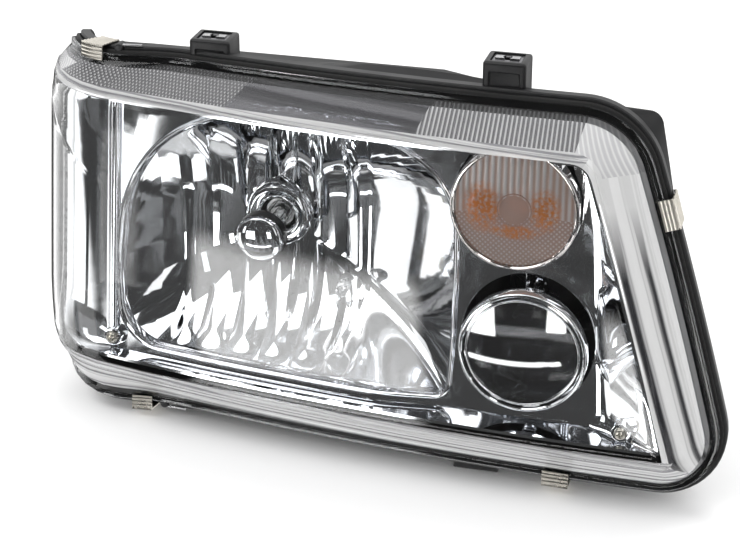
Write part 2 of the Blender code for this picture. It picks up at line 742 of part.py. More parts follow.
def make_main_bulb():
    body = "main_reflector"
    seat = ((0.0128, 0.0905), (0.0222, 0.0905), (0.0232, 0.0920), (0.0232, 0.0945), (0.0190, 0.0945))
    seat += ((0.0190, 0.1068), (0.0128, 0.1068))
    add("bulb_seat", turned(seat, Vector((BULB.x, 0, BULB.z))), "chrome", body)
    base = ((0, 0.0965), (0.0105, 0.0965), (0.0120, 0.0985), (0.0120, 0.1073), (0.0215, 0.1073))
    base += ((0.0215, 0.1090), (0.0095, 0.1090), (0.0095, 0.1165), (0, 0.1165))
    add("main_bulb_base", turned(base, Vector((BULB.x, 0, BULB.z)), MID_ROUND), "steel", body)
    glass = ((0, 0.0480), (0.0050, 0.0492), (0.0080, 0.0525), (0.0086, 0.0560), (0.0086, 0.0960))
    glass += ((0.0076, 0.0960), (0.0076, 0.0565), (0.0070, 0.0535), (0.0045, 0.0503), (0, 0.0492))
    add("main_bulb_glass", turned(glass, Vector((BULB.x, 0, BULB.z)), MID_ROUND), "bulb_glass", body)
    add("main_bulb_filament", rod(Vector((BULB.x, 0.0930, BULB.z)), 0.0025, 0.0050), "steel", body)
    for x in (BULB.x - 0.003, BULB.x + 0.003):
        post = box((x - 0.0004, 0.0595, BULB.z - 0.0004), (x + 0.0004, 0.0945, BULB.z + 0.0004))
        join("main_bulb_filament", post)
    coil = rod(Vector((BULB.x - 0.0038, 0.0600, BULB.z)), 0.0076, 0.0009, "X", 8)
    join("main_bulb_filament", coil)


def make_glare_cap():
    """A cup in front of the bulb's tip, on an arm that hooks to the bulb seat."""
    front, radius, wall = GLARE_CAP_FRONT, GLARE_CAP_RADIUS, 0.0010
    cup = ((0, front), (0.008, front + 0.0004), (0.0135, front + 0.0018), (radius, front + 0.0055))
    cup += ((radius, front + 0.0150), (radius - wall, front + 0.0150), (radius - wall, front + 0.0058))
    cup += ((0.0130, front + 0.0029), (0.008, front + 0.0015), (0, front + 0.0011))
    add("glare_cap", turned(cup, Vector((BULB.x, 0, BULB.z)), MID_ROUND), "chrome", "main_reflector")
    arm_z = BULB.z - radius
    arm = box((BULB.x - 0.0035, front + 0.012, arm_z - 0.0004), (BULB.x + 0.0035, 0.0902, arm_z + 0.0010))
    join("glare_cap", arm)
    foot = box((BULB.x - 0.0035, 0.0892, arm_z - 0.0040), (BULB.x + 0.0035, 0.0902, arm_z + 0.0005))
    join("glare_cap", foot)


def make_bulb_clip():
    """A wire bail hinged above the bulb base, with a cross bar below it."""
    body = "bulb_clip"
    wire, half, reach = 0.0010, 0.0150, 0.0480
    pivot = BODIES[body][1]
    add("bulb_wire_clip", rod(pivot - Vector((half + wire, 0, 0)), 2 * (half + wire), wire, "X", 8), "steel", body)
    for side in (-1, 1):
        leg = rod(pivot + Vector((side * half, 0, -reach)), reach, wire, "Z", 8)
        join("bulb_wire_clip", leg)
    bar = rod(pivot + Vector((-half - wire, 0, -reach)), 2 * (half + wire), wire, "X", 8)
    join("bulb_wire_clip", bar)


def make_bulb_plug():
    body = "main_reflector"
    low = Vector((BULB.x - 0.0090, 0.1190, BULB.z - 0.0090))
    add("bulb_plug", box(low, low + Vector((0.0180, 0.0180, 0.0180)), 0.001), "lead_black", body)
    for x, z in ((-0.0045, 0.0), (0.0045, 0.0), (0.0, 0.0050)):
        place = Vector((BULB.x + x - 0.0004, 0.1160, BULB.z + z - 0.0025))
        join("main_bulb_base", box(place, place + Vector((0.0008, 0.0090, 0.0050))))
        gap = Vector((0.0004, 0.0, 0.0004))
        cut("bulb_plug", box(place - gap + Vector((0, 0.001, 0)), place + Vector((0.0012, 0.0095, 0.0054))))


def make_parking_bulb():
    """A small capless bulb in a push-in holder low in the main reflector."""
    body = "main_reflector"
    x, z = BULB.x + 0.052, BULB.z - 0.043
    glass = ((0, 0.0640), (0.0030, 0.0650), (0.0046, 0.0680), (0.0046, 0.0830), (0, 0.0830))
    add("parking_bulb", turned(glass, Vector((x, 0, z)), SMALL_ROUND), "bulb_glass", body)
    holder = ((0, 0.0833), (0.0065, 0.0833), (0.0065, 0.0995), (0.0095, 0.0995), (0.0095, 0.1070), (0, 0.1070))
    add("parking_bulb_holder", turned(holder, Vector((x, 0, z)), SMALL_ROUND), "carrier_grey", body)


def make_aim_frame():
    """The carrier that swings left and right on two upright pins and holds the reflector."""
    body = "aim_frame"
    y = (YAW_Y - 0.004, YAW_Y + 0.004)
    low = Vector((BULB.x - FRAME_HALF_X, y[0], BULB.z - FRAME_HALF_Z))
    high = Vector((BULB.x + FRAME_HALF_X, y[1], BULB.z + FRAME_HALF_Z))
    add("aim_frame", box(low, high), "carrier_grey", body)
    bar = Vector((FRAME_BAR, -0.01, FRAME_BAR))
    cut("aim_frame", box(low + bar, high - bar))
    for side in (-1, 1):
        x = sorted((BULB.x + side * 0.0720, BULB.x + side * 0.0800))
        ear = box((x[0], PITCH_Y - 0.006, BULB.z - 0.008), (x[1], y[0] + 0.003, BULB.z + 0.008))
        join("aim_frame", ear)
        start = Vector((BULB.x + side * 0.0710 - (0.012 if side < 0 else 0), PITCH_Y, BULB.z))
        cut("aim_frame", rod(start, 0.012, PIN_RADIUS + PIN_GAP, "X"))
        pin_start = Vector((BULB.x + side * 0.0700 - 0.0105, PITCH_Y, BULB.z))
        name = "left" if side < 0 else "right"
        add("pitch_pin_" + name, rod(pin_start, 0.0210, PIN_RADIUS, "X"), "steel", body)
    for z in (0.0420, -0.0560):
        start = Vector((BULB.x, YAW_Y, BULB.z + z))
        cut("aim_frame", rod(start, 0.0140, PIN_RADIUS + PIN_GAP, "Z"))
    add("yaw_pin_top", rod(Vector((BULB.x, YAW_Y, BULB.z + 0.0445)), 0.0185, PIN_RADIUS, "Z"), "steel")
    add("yaw_pin_bottom", rod(Vector((BULB.x, YAW_Y, BULB.z - 0.0630)), 0.0185, PIN_RADIUS, "Z"), "steel")
    screw = BODIES["horizontal_adjuster"][1]
    cut("aim_frame", rod(Vector((screw.x, YAW_Y - 0.010, screw.z)), 0.020, 0.0037))


# ---- levelling and adjusters --------------------------------------------------------------


def make_actuator():
    x, z = BULB.x, ACTUATOR_Z
    back = DEEP_BACK + MARGIN
    add("levelling_actuator", box((x - 0.024, back, z - 0.020), (x + 0.024, back + 0.030, z + 0.020)), "lead_black")
    join("levelling_actuator", rod(Vector((x, DEEP_BACK - 0.012, z)), 0.016, 0.0130, steps=ROUND))
    socket = box((x - 0.022, back + 0.025, z - 0.032), (x - 0.002, back + 0.039, z - 0.010), 0.001)
    join("levelling_actuator", socket)
    cut("levelling_actuator", box((x - 0.020, back + 0.028, z - 0.036), (x - 0.004, back + 0.037, z - 0.018)))
    cut("levelling_actuator", rod(Vector((x, DEEP_BACK - 0.02, z)), 0.034, 0.0034))
    ball = [(0.005 * math.sin(a), -0.005 * math.cos(a)) for a in [math.radians(20 * i) for i in range(8)]]
    ball[0] = (0, -0.005)
    stem = ((0.0028, 0.0070), (0.0028, 0.0520), (0, 0.0520))
    plunger = turned((*ball, *stem), Vector((x, BALL_Y, z)), SMALL_ROUND)
    add("actuator_plunger", plunger, "knob_white", "actuator_plunger")


def knob(name, body, radius, screw_radius, screw_from, material="knob_white"):
    """A cross-cut knob on a screw that runs forward through the housing's back."""
    pivot = BODIES[body][1]
    flange = ((0, screw_from), (screw_radius, screw_from), (screw_radius, MARGIN), (radius, MARGIN))
    grip = ((radius, 0.0040), (radius * 0.82, 0.0050), (radius * 0.82, 0.0140), (0, 0.0140))
    add(name, turned(flange + grip, pivot, MID_ROUND), material, body)
    slot = Vector((0.0010, 0.0, radius))
    start = pivot + Vector((0, 0.0110, 0))
    for turn in (0, 90):
        cut(name, spun(box(start - slot, start + slot + Vector((0, 0.006, 0))), pivot, turn))


def make_adjusters():
    knob("horizontal_adjuster", "horizontal_adjuster", 0.0100, 0.0030, YAW_Y - 0.012 - DEEP_BACK)
    knob("vertical_adjuster", "vertical_adjuster", 0.0100, 0.0030, -0.0260)
    gear = BODIES["vertical_adjuster"][1] - Vector((0, 0.0240, 0))
    join("vertical_adjuster", rod(gear, 0.006, 0.0120, steps=MID_ROUND))
    for tooth in range(6):
        bite = box(gear + Vector((-0.0015, -0.001, 0.0095)), gear + Vector((0.0015, 0.007, 0.0135)))
        cut("vertical_adjuster", spun(bite, gear, 60 * tooth + 7))
    knob("fog_adjuster", "fog_adjuster", 0.0080, 0.0024, -0.0480)


# ---- small lamps ---------------------------------------------------------------------------


def cup_profile(front, depth, neck, neck_length):
    """A ring that stands proud of the trim, a ledge for the glass and a dish down to a neck."""
    wall = 0.0020
    ledge = front + 0.0060
    foot = front + depth
    start = GLASS_RADIUS - 0.0012
    steps = (0.0, 0.25, 0.5, 0.75, 1.0)
    dish = [(start + (neck - start) * t, ledge + (depth - 0.006) * t**0.6) for t in steps]
    back = [(r + wall, y + wall * 0.8) for r, y in dish[:0:-1]]
    rim = ((GLASS_RADIUS + 0.0003, front), (GLASS_RADIUS + 0.0003, ledge))
    outside = ((RING_RADIUS, ledge + 0.004), (RING_RADIUS, front + 0.0012), (RING_RADIUS - 0.0012, front))
    tube = ((neck, foot + neck_length), (neck + wall, foot + neck_length))
    return (*rim, *dish, *tube, *back, *outside)


def glass_disc(front, bulge):
    edge = front + 0.0022
    face = ((0, edge - bulge), (0.014, edge - bulge * 0.88), (0.028, edge - bulge * 0.5), (GLASS_RADIUS, edge))
    return (*face, (GLASS_RADIUS, edge + 0.0030), (0, edge + 0.0030))


def make_indicator():
    x, z = INDICATOR.x, INDICATOR.z
    place = Vector((x, 0, z))
    add("indicator_reflector", turned(cup_profile(INDICATOR_FRONT, 0.055, 0.0130, 0.010), place), "chrome")
    add("indicator_lens", turned(glass_disc(INDICATOR_FRONT, 0.0015), place), "bulb_glass")
    bulb = ((0, 0.030), (0.0045, 0.0312), (0.0078, 0.0345), (0.0090, 0.0390), (0.0085, 0.0450), (0.0062, 0.0520))
    bulb += ((0.0062, 0.0600), (0, 0.0600))
    add("indicator_bulb", turned(bulb, place, MID_ROUND), "amber", "indicator_holder")
    holder = ((0, 0.0603), (0.0085, 0.0603), (0.0115, 0.0640), (0.0115, 0.0900), (0.0125, 0.0900))
    holder += ((0.0125, 0.1013), (0.0185, 0.1013), (0.0185, 0.1060), (0.0150, 0.1070), (0.0150, 0.1180), (0, 0.1180))
    add("indicator_holder", turned(holder, place, MID_ROUND), "carrier_grey", "indicator_holder")
    pivot = BODIES["indicator_holder"][1]
    for turn in (90, 270):
        wing = box((x - 0.0016, 0.1040, z + 0.012), (x + 0.0016, 0.1170, z + 0.0195))
        join("indicator_holder", spun(wing, pivot, turn))
    seal = tube_ring(Vector((x, STEP_BACK - 0.0035, z)), 0.0030, 0.0128, 0.0146)
    add("indicator_holder_seal", seal, "seal_black")


def make_fog_lamp():
    body = "fog_lamp"
    x, z = FOG.x, FOG.z
    place = Vector((x, 0, z))
    add("fog_reflector", turned(cup_profile(FOG_FRONT, 0.062, 0.0100, 0.008), place), "chrome", body)
    lug = box((x - 0.0075, FOG_PIVOT_Y - 0.005, z + 0.020), (x + 0.0075, FOG_PIVOT_Y + 0.005, FOG_PIVOT_Z + 0.005))
    join("fog_reflector", lug)
    nut = box((x - 0.0070, 0.0480, FOG_SCREW_Z - 0.007), (x + 0.0070, 0.0580, z - 0.015))
    join("fog_reflector", nut)
    cut("fog_reflector", turned(cup_inside(FOG_FRONT, 0.062), place))
    cut("fog_reflector", rod(Vector((x - 0.010, FOG_PIVOT_Y, FOG_PIVOT_Z)), 0.020, PIN_RADIUS + PIN_GAP, "X"))
    cut("fog_reflector", rod(Vector((x, 0.044, FOG_SCREW_Z)), 0.020, 0.0034))
    add("fog_pivot_pin", rod(Vector((x - 0.0150, FOG_PIVOT_Y, FOG_PIVOT_Z)), 0.030, PIN_RADIUS, "X"), "steel")
    add("fog_lens", turned(glass_disc(FOG_FRONT, 0.0025), place), "bulb_glass", body)
    glass = ((0, 0.0300), (0.0035, 0.0308), (0.0055, 0.0335), (0.0055, 0.0480), (0, 0.0480))
    add("fog_bulb", turned(glass, place, SMALL_ROUND), "bulb_glass", body)
    base = ((0, 0.0483), (0.0075, 0.0483), (0.0075, 0.0655), (0.0140, 0.0655), (0.0140, 0.0680), (0.0080, 0.0680))
    base += ((0.0080, 0.0800), (0, 0.0800))
    add("fog_bulb_base", turned(base, place, MID_ROUND), "steel", body)
    front = 0.0200
    shield = ((0, front), (0.006, front + 0.0008), (0.0105, front + 0.0036), (0.0125, front + 0.0080))
    shield += ((0.0115, front + 0.0080), (0.0098, front + 0.0042), (0.0056, front + 0.0017), (0, front + 0.0010))
    add("fog_shield", turned(shield, place, MID_ROUND), "chrome", body)
    for turn in (0, 180):
        leg = box((x - 0.0006, front + 0.006, z + 0.0112), (x + 0.0006, 0.0490, z + 0.0122))
        join("fog_shield", spun(leg, place, turn))


def cup_inside(front, depth):
    """The space inside the fog lamp's dish, used to clear lugs that reach into it."""
    profile = cup_profile(front, depth, 0.0100, 0.008)
    return ((0, front - 0.01), (profile[0][0], front - 0.01), *profile[1:8], (0, profile[7][1] + 0.01))


# ---- rear covers ---------------------------------------------------------------------------


def make_cover(name, body, centre, back, radius, length):
    """A cap whose skirt passes over the collar, with three hooks behind the collar's lugs."""
    pivot = BODIES[body][1]
    end = length + 0.0035
    skirt = radius + 0.0028
    wall = 0.0022
    profile = (
        (0, end),
        (radius + 0.0010, end),
        (skirt, end - 0.0015),
        (skirt, 0.0015),
        (skirt + wall, 0.0015),
        (skirt + wall, end),
        (skirt, end + 0.0022),
        (radius * 0.80, end + 0.0022),
        (radius * 0.74, end + 0.0075),
        (0, end + 0.0085),
    )
    add(name, turned(profile, pivot), "housing_black", body)
    for lug in bayonet_lugs(pivot, back + 0.0030, radius + 0.0006, skirt + 0.001):
        join(name, lug)
    low, high = Vector((-radius * 0.55, end + 0.005, -0.0035)), Vector((radius * 0.55, end + 0.0160, 0.0035))
    join(name, box(pivot + low, pivot + high, 0.001))
    seal_start = Vector((centre.x, back + length + MARGIN, centre.z))
    seal = tube_ring(seal_start, 0.0029, radius - COLLAR_WALL + 0.0005, radius - 0.0005)
    add(name + "_seal", seal, "seal_black", body)


def make_covers():
    make_cover("main_cover", "main_cover", BULB, DEEP_BACK, MAIN_COLLAR_RADIUS, MAIN_COLLAR_LENGTH)
    make_cover("fog_cover", "fog_cover", FOG, STEP_BACK, FOG_COLLAR_RADIUS, FOG_COLLAR_LENGTH)


# ---- wiring and vent -----------------------------------------------------------------------


def make_connector():
    low = Vector((-0.044, DEEP_BACK + MARGIN, 0.052))
    high = Vector((0.000, DEEP_BACK + 0.0035, 0.078))
    add("connector_socket", box(low, high, 0.0008), "lead_black")
    join("connector_socket", box((-0.0395, DEEP_BACK - 0.010, 0.0565), (-0.0045, DEEP_BACK + 0.020, 0.0735)))
    cut("connector_socket", box((-0.0375, DEEP_BACK - 0.002, 0.0585), (-0.0065, DEEP_BACK + 0.030, 0.0715)))
    for i in range(5):
        x = -0.0340 + 0.0060 * i
        join("connector_socket", box((x - 0.0006, DEEP_BACK - 0.004, 0.0645), (x + 0.0006, DEEP_BACK + 0.012, 0.0657)))


def make_lead(name, route, radius):
    """A lead as a round wire along a smooth curve through its route's points."""
    points = []
    last = len(route) - 1
    for i in range(last):
        before, start, end, after = (Vector(route[min(max(i + k, 0), last)]) for k in (-1, 0, 1, 2))
        for step in range(3):
            t = step / 3
            drift = 2 * start + (end - before) * t + (2 * before - 5 * start + 4 * end - after) * t * t
            points.append((drift + (3 * start - before - 3 * end + after) * t**3) / 2)
    points.append(Vector(route[last]))
    curve = bpy.data.curves.new(name, "CURVE")
    curve.dimensions = "3D"
    curve.bevel_depth = radius
    curve.bevel_resolution = 1
    curve.use_fill_caps = True
    spline = curve.splines.new("POLY")
    spline.points.add(len(points) - 1)
    for spot, point in zip(spline.points, points):
        spot.co = (*point, 1.0)
    curve.materials.append(materials["lead_black"])
    item = bpy.data.objects.new(name, curve)
    item.parent = pivots["housing"]
    bpy.context.scene.collection.objects.link(item)


def make_leads():
    plug_top = BULB.z + 0.0096
    main = (
        (BULB.x, 0.1300, plug_top + 0.0020),
        (BULB.x, 0.1300, plug_top + 0.013),
        (BULB.x + 0.012, 0.1330, plug_top + 0.026),
        (BULB.x + 0.030, 0.1370, plug_top + 0.040),
        (-0.0340, 0.1400, 0.0600),
        (-0.0300, 0.1494, 0.0640),
    )
    make_lead("headlamp_lead", main, 0.0022)
    fog = (
        (FOG.x - 0.001, 0.0826, FOG.z),
        (FOG.x - 0.007, 0.0885, FOG.z + 0.002),
        (0.0700, 0.0880, -0.0200),
        (0.0420, 0.0960, 0.0100),
        (0.0150, 0.1150, 0.0440),
        (-0.0080, 0.1380, 0.0620),
        (-0.0140, 0.1494, 0.0650),
    )
    make_lead("fog_lead", fog, 0.0018)


def make_vent():
    place = Vector((-0.196, DEEP_BACK, 0.058))
    cap = ((0, -0.006), (0.0048, -0.006), (0.0048, MARGIN), (0.0090, MARGIN), (0.0090, 0.010))
    cap += ((0.0070, 0.0125), (0, 0.0125))
    add("vent_cap", turned(cap, place, MID_ROUND), "seal_black")


clear_scene()
materials = make_materials()
pivots = make_pivots()
make_lens()
make_clips()
make_housing()
make_tab_nuts()
make_bezel()
make_main_reflector()
make_main_bulb()
make_glare_cap()
make_bulb_clip()
make_bulb_plug()
make_parking_bulb()
make_aim_frame()
make_actuator()
make_adjusters()
make_indicator()
make_fog_lamp()
make_covers()
make_connector()
make_leads()
make_vent()
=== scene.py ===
"""Looks for the car headlight assembly: fine meshes, procedural materials, studio, camera."""

import json
import math
from functools import partial

import bmesh
import bpy
from mathutils import Matrix, Vector


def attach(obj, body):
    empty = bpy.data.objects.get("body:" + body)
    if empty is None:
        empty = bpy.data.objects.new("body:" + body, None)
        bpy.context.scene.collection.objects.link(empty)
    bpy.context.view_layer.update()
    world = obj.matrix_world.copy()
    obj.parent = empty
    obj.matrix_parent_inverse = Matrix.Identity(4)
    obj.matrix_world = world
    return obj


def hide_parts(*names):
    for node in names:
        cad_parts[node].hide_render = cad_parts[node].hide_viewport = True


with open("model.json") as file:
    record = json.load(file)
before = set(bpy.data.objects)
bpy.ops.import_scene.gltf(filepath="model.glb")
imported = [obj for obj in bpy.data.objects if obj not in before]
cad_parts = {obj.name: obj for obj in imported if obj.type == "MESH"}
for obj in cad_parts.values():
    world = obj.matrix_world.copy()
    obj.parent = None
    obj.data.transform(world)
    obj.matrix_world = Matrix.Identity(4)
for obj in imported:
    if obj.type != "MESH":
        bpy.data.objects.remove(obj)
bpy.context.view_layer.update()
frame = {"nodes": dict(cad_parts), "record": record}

# ---- the lamp's own layout, as in its CAD ---------------------------------------------------

ORIGIN = Vector((0.01157, -0.08703, 0.15))
LEAN, LEAN_FOOT = 0.163, -0.137
FRONT_RADIUS, FRONT_START = 2.0, 0.205
CORNER_START, CORNER_RADIUS, CORNER_END = -0.198, 0.045, math.radians(80)
RIM_RISE, RIM_RISE_START, RIM_RISE_LENGTH = 0.018, -0.15, 0.085
RIM = ((-0.268, -0.137, 0.075), (0.25, -0.137, 0.04), (0.167, 0.113, 0.052), (-0.268, 0.108, 0.032))
WINDOW = ((-0.262, -0.107, 0.05), (0.209, -0.107, 0.006), (0.144, 0.092, 0.02), (-0.262, 0.09, 0.01))
TRIM_FACE = ((-0.207, -0.098, 0.02), (0.157, -0.096, 0.01), (0.141, 0.085, 0.012), (-0.207, 0.085, 0.012))
MAIN_OPENING = ((-0.192, -0.09, 0.03), (0.05, -0.0885, 0.008), (0.05, 0.078, 0.06), (-0.192, 0.078, 0.095))
BODY = ((-0.262, -0.129, 0.07), (0.226, -0.13, 0.032), (0.177, 0.106, 0.01), (-0.262, 0.106, 0.028))
BACK = ((-0.224, -0.124, 0.035), (0.192, -0.124, 0.018), (0.152, 0.088, 0.018), (-0.224, 0.088, 0.018))
SIDE_BOW = 0.0054
FLANGE_FRONT, FLANGE_BACK, FLANGE_OUTSET = -0.0066, -0.014, 0.0045
BODY_DEPTH, BODY_CROWN, BODY_CROWN_CENTRE, BODY_CROWN_HALF = -0.026, 0.01, 0.015, 0.12
DEEP_BACK, STEP_BACK, STEP_FROM, STEP_TO = 0.16, 0.1, 0.012, 0.052
TRIM_DEEP, TRIM_SHALLOW, TRIM_RAMP_TO, TRIM_WALL = 0.011, 0.003, 0.06, 0.002
BULB = Vector((-0.091, 0.098, -0.007))
INDICATOR = Vector((0.0915, 0.0185, 0.0465))
FOG = Vector((0.104, -0.005, -0.044))
ACTUATOR_Z = -0.09

# ---- how fine the meshes are, and which facets stay sharp (degrees) --------------------------

ARC_STEPS, CUTS, SIDE_CUTS = 14, 36, 12
SHARP_EDGE = 35
BOOLEAN_REACH = 0.11


def smooth_step(value):
    t = min(max(value, 0.0), 1.0)
    return t * t * (3 - 2 * t)


def sweep(s):
    corner_angle = (FRONT_START - CORNER_START) / FRONT_RADIUS
    if s >= FRONT_START:
        return s, 0.0, 0.0
    if s >= CORNER_START:
        angle = (FRONT_START - s) / FRONT_RADIUS
        return FRONT_START - FRONT_RADIUS * math.sin(angle), FRONT_RADIUS * (1 - math.cos(angle)), angle
    hub = FRONT_RADIUS - CORNER_RADIUS
    centre_x = FRONT_START - hub * math.sin(corner_angle)
    centre_y = FRONT_RADIUS - hub * math.cos(corner_angle)
    angle = min(corner_angle + (CORNER_START - s) / CORNER_RADIUS, CORNER_END)
    straight = max(CORNER_START - s - (CORNER_END - corner_angle) * CORNER_RADIUS, 0.0)
    x = centre_x - CORNER_RADIUS * math.sin(angle) - straight * math.cos(angle)
    y = centre_y - CORNER_RADIUS * math.cos(angle) + straight * math.sin(angle)
    return x, y, angle


def on_surface(s, z, depth):
    x, y, angle = sweep(s)
    return Vector((x - math.sin(angle) * depth, y - math.cos(angle) * depth + LEAN * (z - LEAN_FOOT), z))


def rim_depth(s):
    return RIM_RISE * smooth_step((RIM_RISE_START - s) / RIM_RISE_LENGTH)


def trim_depth(s):
    return TRIM_DEEP + (TRIM_SHALLOW - TRIM_DEEP) * smooth_step(s / TRIM_RAMP_TO)


def moved_in(corners, inset):
    points = [Vector(corner[:2]) for corner in corners]
    moved = []
    for i, corner in enumerate(corners):
        before = (points[i] - points[i - 1]).normalized()
        after = (points[(i + 1) % 4] - points[i]).normalized()
        normal_before, normal_after = Vector((-before.y, before.x)), Vector((-after.y, after.x))
        place = points[i] + (normal_before + normal_after) * (inset / (1 + normal_before.dot(normal_after)))
        moved.append((place.x, place.y, max(corner[2] - inset, 0.002)))
    return moved


def corner_arc(previous, corner, following):
    here = Vector(corner[:2])
    to_previous = (Vector(previous[:2]) - here).normalized()
    to_following = (Vector(following[:2]) - here).normalized()
    half = to_previous.angle(to_following) / 2
    centre = here + (to_previous + to_following).normalized() * (corner[2] / math.sin(half))
    start = here + to_previous * (corner[2] / math.tan(half)) - centre
    angle = math.atan2(start.y, start.x)
    steps = [angle + (math.pi - 2 * half) * i / ARC_STEPS for i in range(ARC_STEPS + 1)]
    return [(centre.x + corner[2] * math.cos(a), centre.y + corner[2] * math.sin(a)) for a in steps]


def outline(corners, inset=0.0, places=None):
    """Rounded outline. Point i at the bottom faces point -1-i at the top."""
    corners = moved_in(corners, inset)
    arcs = [corner_arc(corners[i - 1], corners[i], corners[(i + 1) % 4]) for i in range(4)]

    def side(start, end):
        if places:
            return [(x, start[1] + (end[1] - start[1]) * (x - start[0]) / (end[0] - start[0])) for x in places]
        steps = [(i + 1) / (CUTS + 1) for i in range(CUTS)]
        return [(start[0] + (end[0] - start[0]) * t, start[1] + (end[1] - start[1]) * t) for t in steps]

    def upright(start, end, bow):
        ring = []
        for i in range(SIDE_CUTS):
            t = (i + 1) / (SIDE_CUTS + 1)
            ring.append((start[0] + (end[0] - start[0]) * t + bow * t * (1 - t), start[1] + (end[1] - start[1]) * t))
        return ring

    right = upright(arcs[1][-1], arcs[2][0], SIDE_BOW)
    left = upright(arcs[0][0], arcs[3][-1], -SIDE_BOW)
    half = SIDE_CUTS // 2
    bottom, top = side(arcs[0][-1], arcs[1][0]), side(arcs[3][0], arcs[2][-1])
    return left[:half][::-1] + arcs[0] + bottom + arcs[1] + right + arcs[2] + top[::-1] + arcs[3] + left[half:][::-1]


def layer(corners, inset, depth, places=None):
    """An outline as (distance across, height, depth) points. The depth may depend on the distance."""
    ring = outline(corners, inset, places)
    return [(s, z, depth(s) if callable(depth) else depth) for s, z in ring]


def rim_layer(inset, depth, corners=RIM):
    return layer(corners, inset, lambda s: rim_depth(s) + depth)


def mixed(first, second, t):
    return [tuple(a + (b - a) * t for a, b in zip(p, q)) for p, q in zip(first, second)]


def skin(rings):
    return [[on_surface(*point) for point in ring] for ring in rings]


# ---- meshes ---------------------------------------------------------------------------------


def loft(rings, closed=False, caps=False, slots=None, chart=None):
    """Skin over rings of equal counts. Its UV map is the chart, or the distance round the ring."""
    mesh = bmesh.new()
    uv = mesh.loops.layers.uv.new("UVMap")
    loops = [[mesh.verts.new(point) for point in ring] for ring in rings]
    count = len(loops[0])
    around = [0.0]
    for i in range(count):
        around.append(around[-1] + (loops[0][(i + 1) % count].co - loops[0][i].co).length)
    following = loops[1:] + loops[:1] if closed else loops[1:]
    for k, (near, far) in enumerate(zip(loops, following)):
        for i in range(count):
            j = (i + 1) % count
            face = mesh.faces.new((near[i], near[j], far[j], far[i]))
            face.material_index = slots[k] if slots else 0
            for corner, spot in zip(face.loops, ((i, k), (i + 1, k), (i + 1, k + 1), (i, k + 1))):
                corner[uv].uv = (around[spot[0]], spot[1] * 0.01)
                if chart:
                    corner[uv].uv = chart[spot[1] % len(rings)][spot[0] % count][:2]
    if caps:
        for loop in (loops[0], loops[-1]):
            for i in range(count // 2 - 1):
                mesh.faces.new((loop[i], loop[i + 1], loop[-2 - i], loop[-1 - i]))
        bmesh.ops.recalc_face_normals(mesh, faces=mesh.faces)
    return mesh


def turned(profile, centre, steps=96, axis="Y"):
    """A solid of revolution about an axis. The closed profile is (radius, distance) points."""
    turn_to = Matrix.Rotation(math.radians(-90), 4, "X") if axis == "Y" else Matrix.Identity(4)
    mesh = bmesh.new()
    angles = [2 * math.pi * i / steps for i in range(steps)]
    rings = []
    for radius, height in profile:
        spots = [(0.0, 0.0)] if radius == 0 else [(radius * math.cos(a), radius * math.sin(a)) for a in angles]
        rings.append([mesh.verts.new((x, y, height)) for x, y in spots])
    for near, far in zip(rings, rings[1:] + rings[:1]):
        for i in range(steps):
            j = (i + 1) % steps
            corners = [near[i % len(near)], near[j % len(near)], far[j % len(far)], far[i % len(far)]]
            corners = list(dict.fromkeys(corners))
            if len(corners) > 2:
                mesh.faces.new(corners)
    bmesh.ops.recalc_face_normals(mesh, faces=mesh.faces)
    bmesh.ops.transform(mesh, matrix=Matrix.Translation(centre) @ turn_to, verts=mesh.verts)
    return mesh


def rounded(profile, radius=0.0006, steps=3):
    """Rounds the corners of a closed profile with short arcs."""
    points = [Vector(p) for p in profile]
    made = []
    for i, here in enumerate(points):
        back, on = points[i - 1] - here, points[(i + 1) % len(points)] - here
        if here.x == 0 or back.length == 0 or on.length == 0:
            made.append(tuple(here))
            continue
        reach = min(radius, back.length * 0.4, on.length * 0.4)
        first, last = here + back.normalized() * reach, here + on.normalized() * reach
        for k in range(steps + 1):
            t = k / steps
            spot = first * (1 - t) ** 2 + here * 2 * t * (1 - t) + last * t * t
            made.append((max(spot.x, 0.0), spot.y))
    return made


def box(low, high, bevel=0.0012, segments=3):
    mesh = bmesh.new()
    bmesh.ops.create_cube(mesh, size=1.0)
    low, high = Vector(low), Vector(high)
    size = Matrix.Diagonal((*(high - low), 1.0))
    bmesh.ops.transform(mesh, matrix=Matrix.Translation((low + high) / 2) @ size, verts=mesh.verts)
    bmesh.ops.bevel(mesh, geom=mesh.edges, offset=bevel, segments=segments, profile=0.5, affect="EDGES")
    return mesh


def box_at(place, low, high, *bevel):
    """A box whose corners are given from a place."""
    return box(place + Vector(low), place + Vector(high), *bevel)


def upright_place(centre, y=0.0):
    return Vector((centre.x, y, centre.z))


def rod(start, length, radius, axis="Y", steps=32):
    end = min(radius * 0.2, 0.0005)
    profile = ((0, 0), (radius - end, 0), (radius, end), (radius, length - end), (radius - end, length), (0, length))
    return turned(profile, start, steps, axis)


def spun(mesh, centre, degrees):
    """Turns a mesh about the front-to-back axis through a centre."""
    turn = Matrix.Rotation(math.radians(degrees), 4, "Y")
    matrix = Matrix.Translation(centre) @ turn @ Matrix.Translation(-Vector(centre))
    bmesh.ops.transform(mesh, matrix=matrix, verts=mesh.verts)
    return mesh


def dome(radius, front, rise, degrees):
    """Points of a shallow dome's profile at the given angles from its crown."""
    turns = [math.radians(angle) for angle in degrees]
    return [(radius * math.sin(turn), front + rise * (1 - math.cos(turn))) for turn in turns]


def capped(rings):
    """A tube over rings of equal counts, closed with one face at each end."""
    mesh = loft(rings)
    mesh.verts.ensure_lookup_table()
    count = len(rings[0])
    for start in (0, (len(rings) - 1) * count):
        mesh.faces.new([mesh.verts[start + i] for i in range(count)])
    bmesh.ops.recalc_face_normals(mesh, faces=mesh.faces)
    return mesh


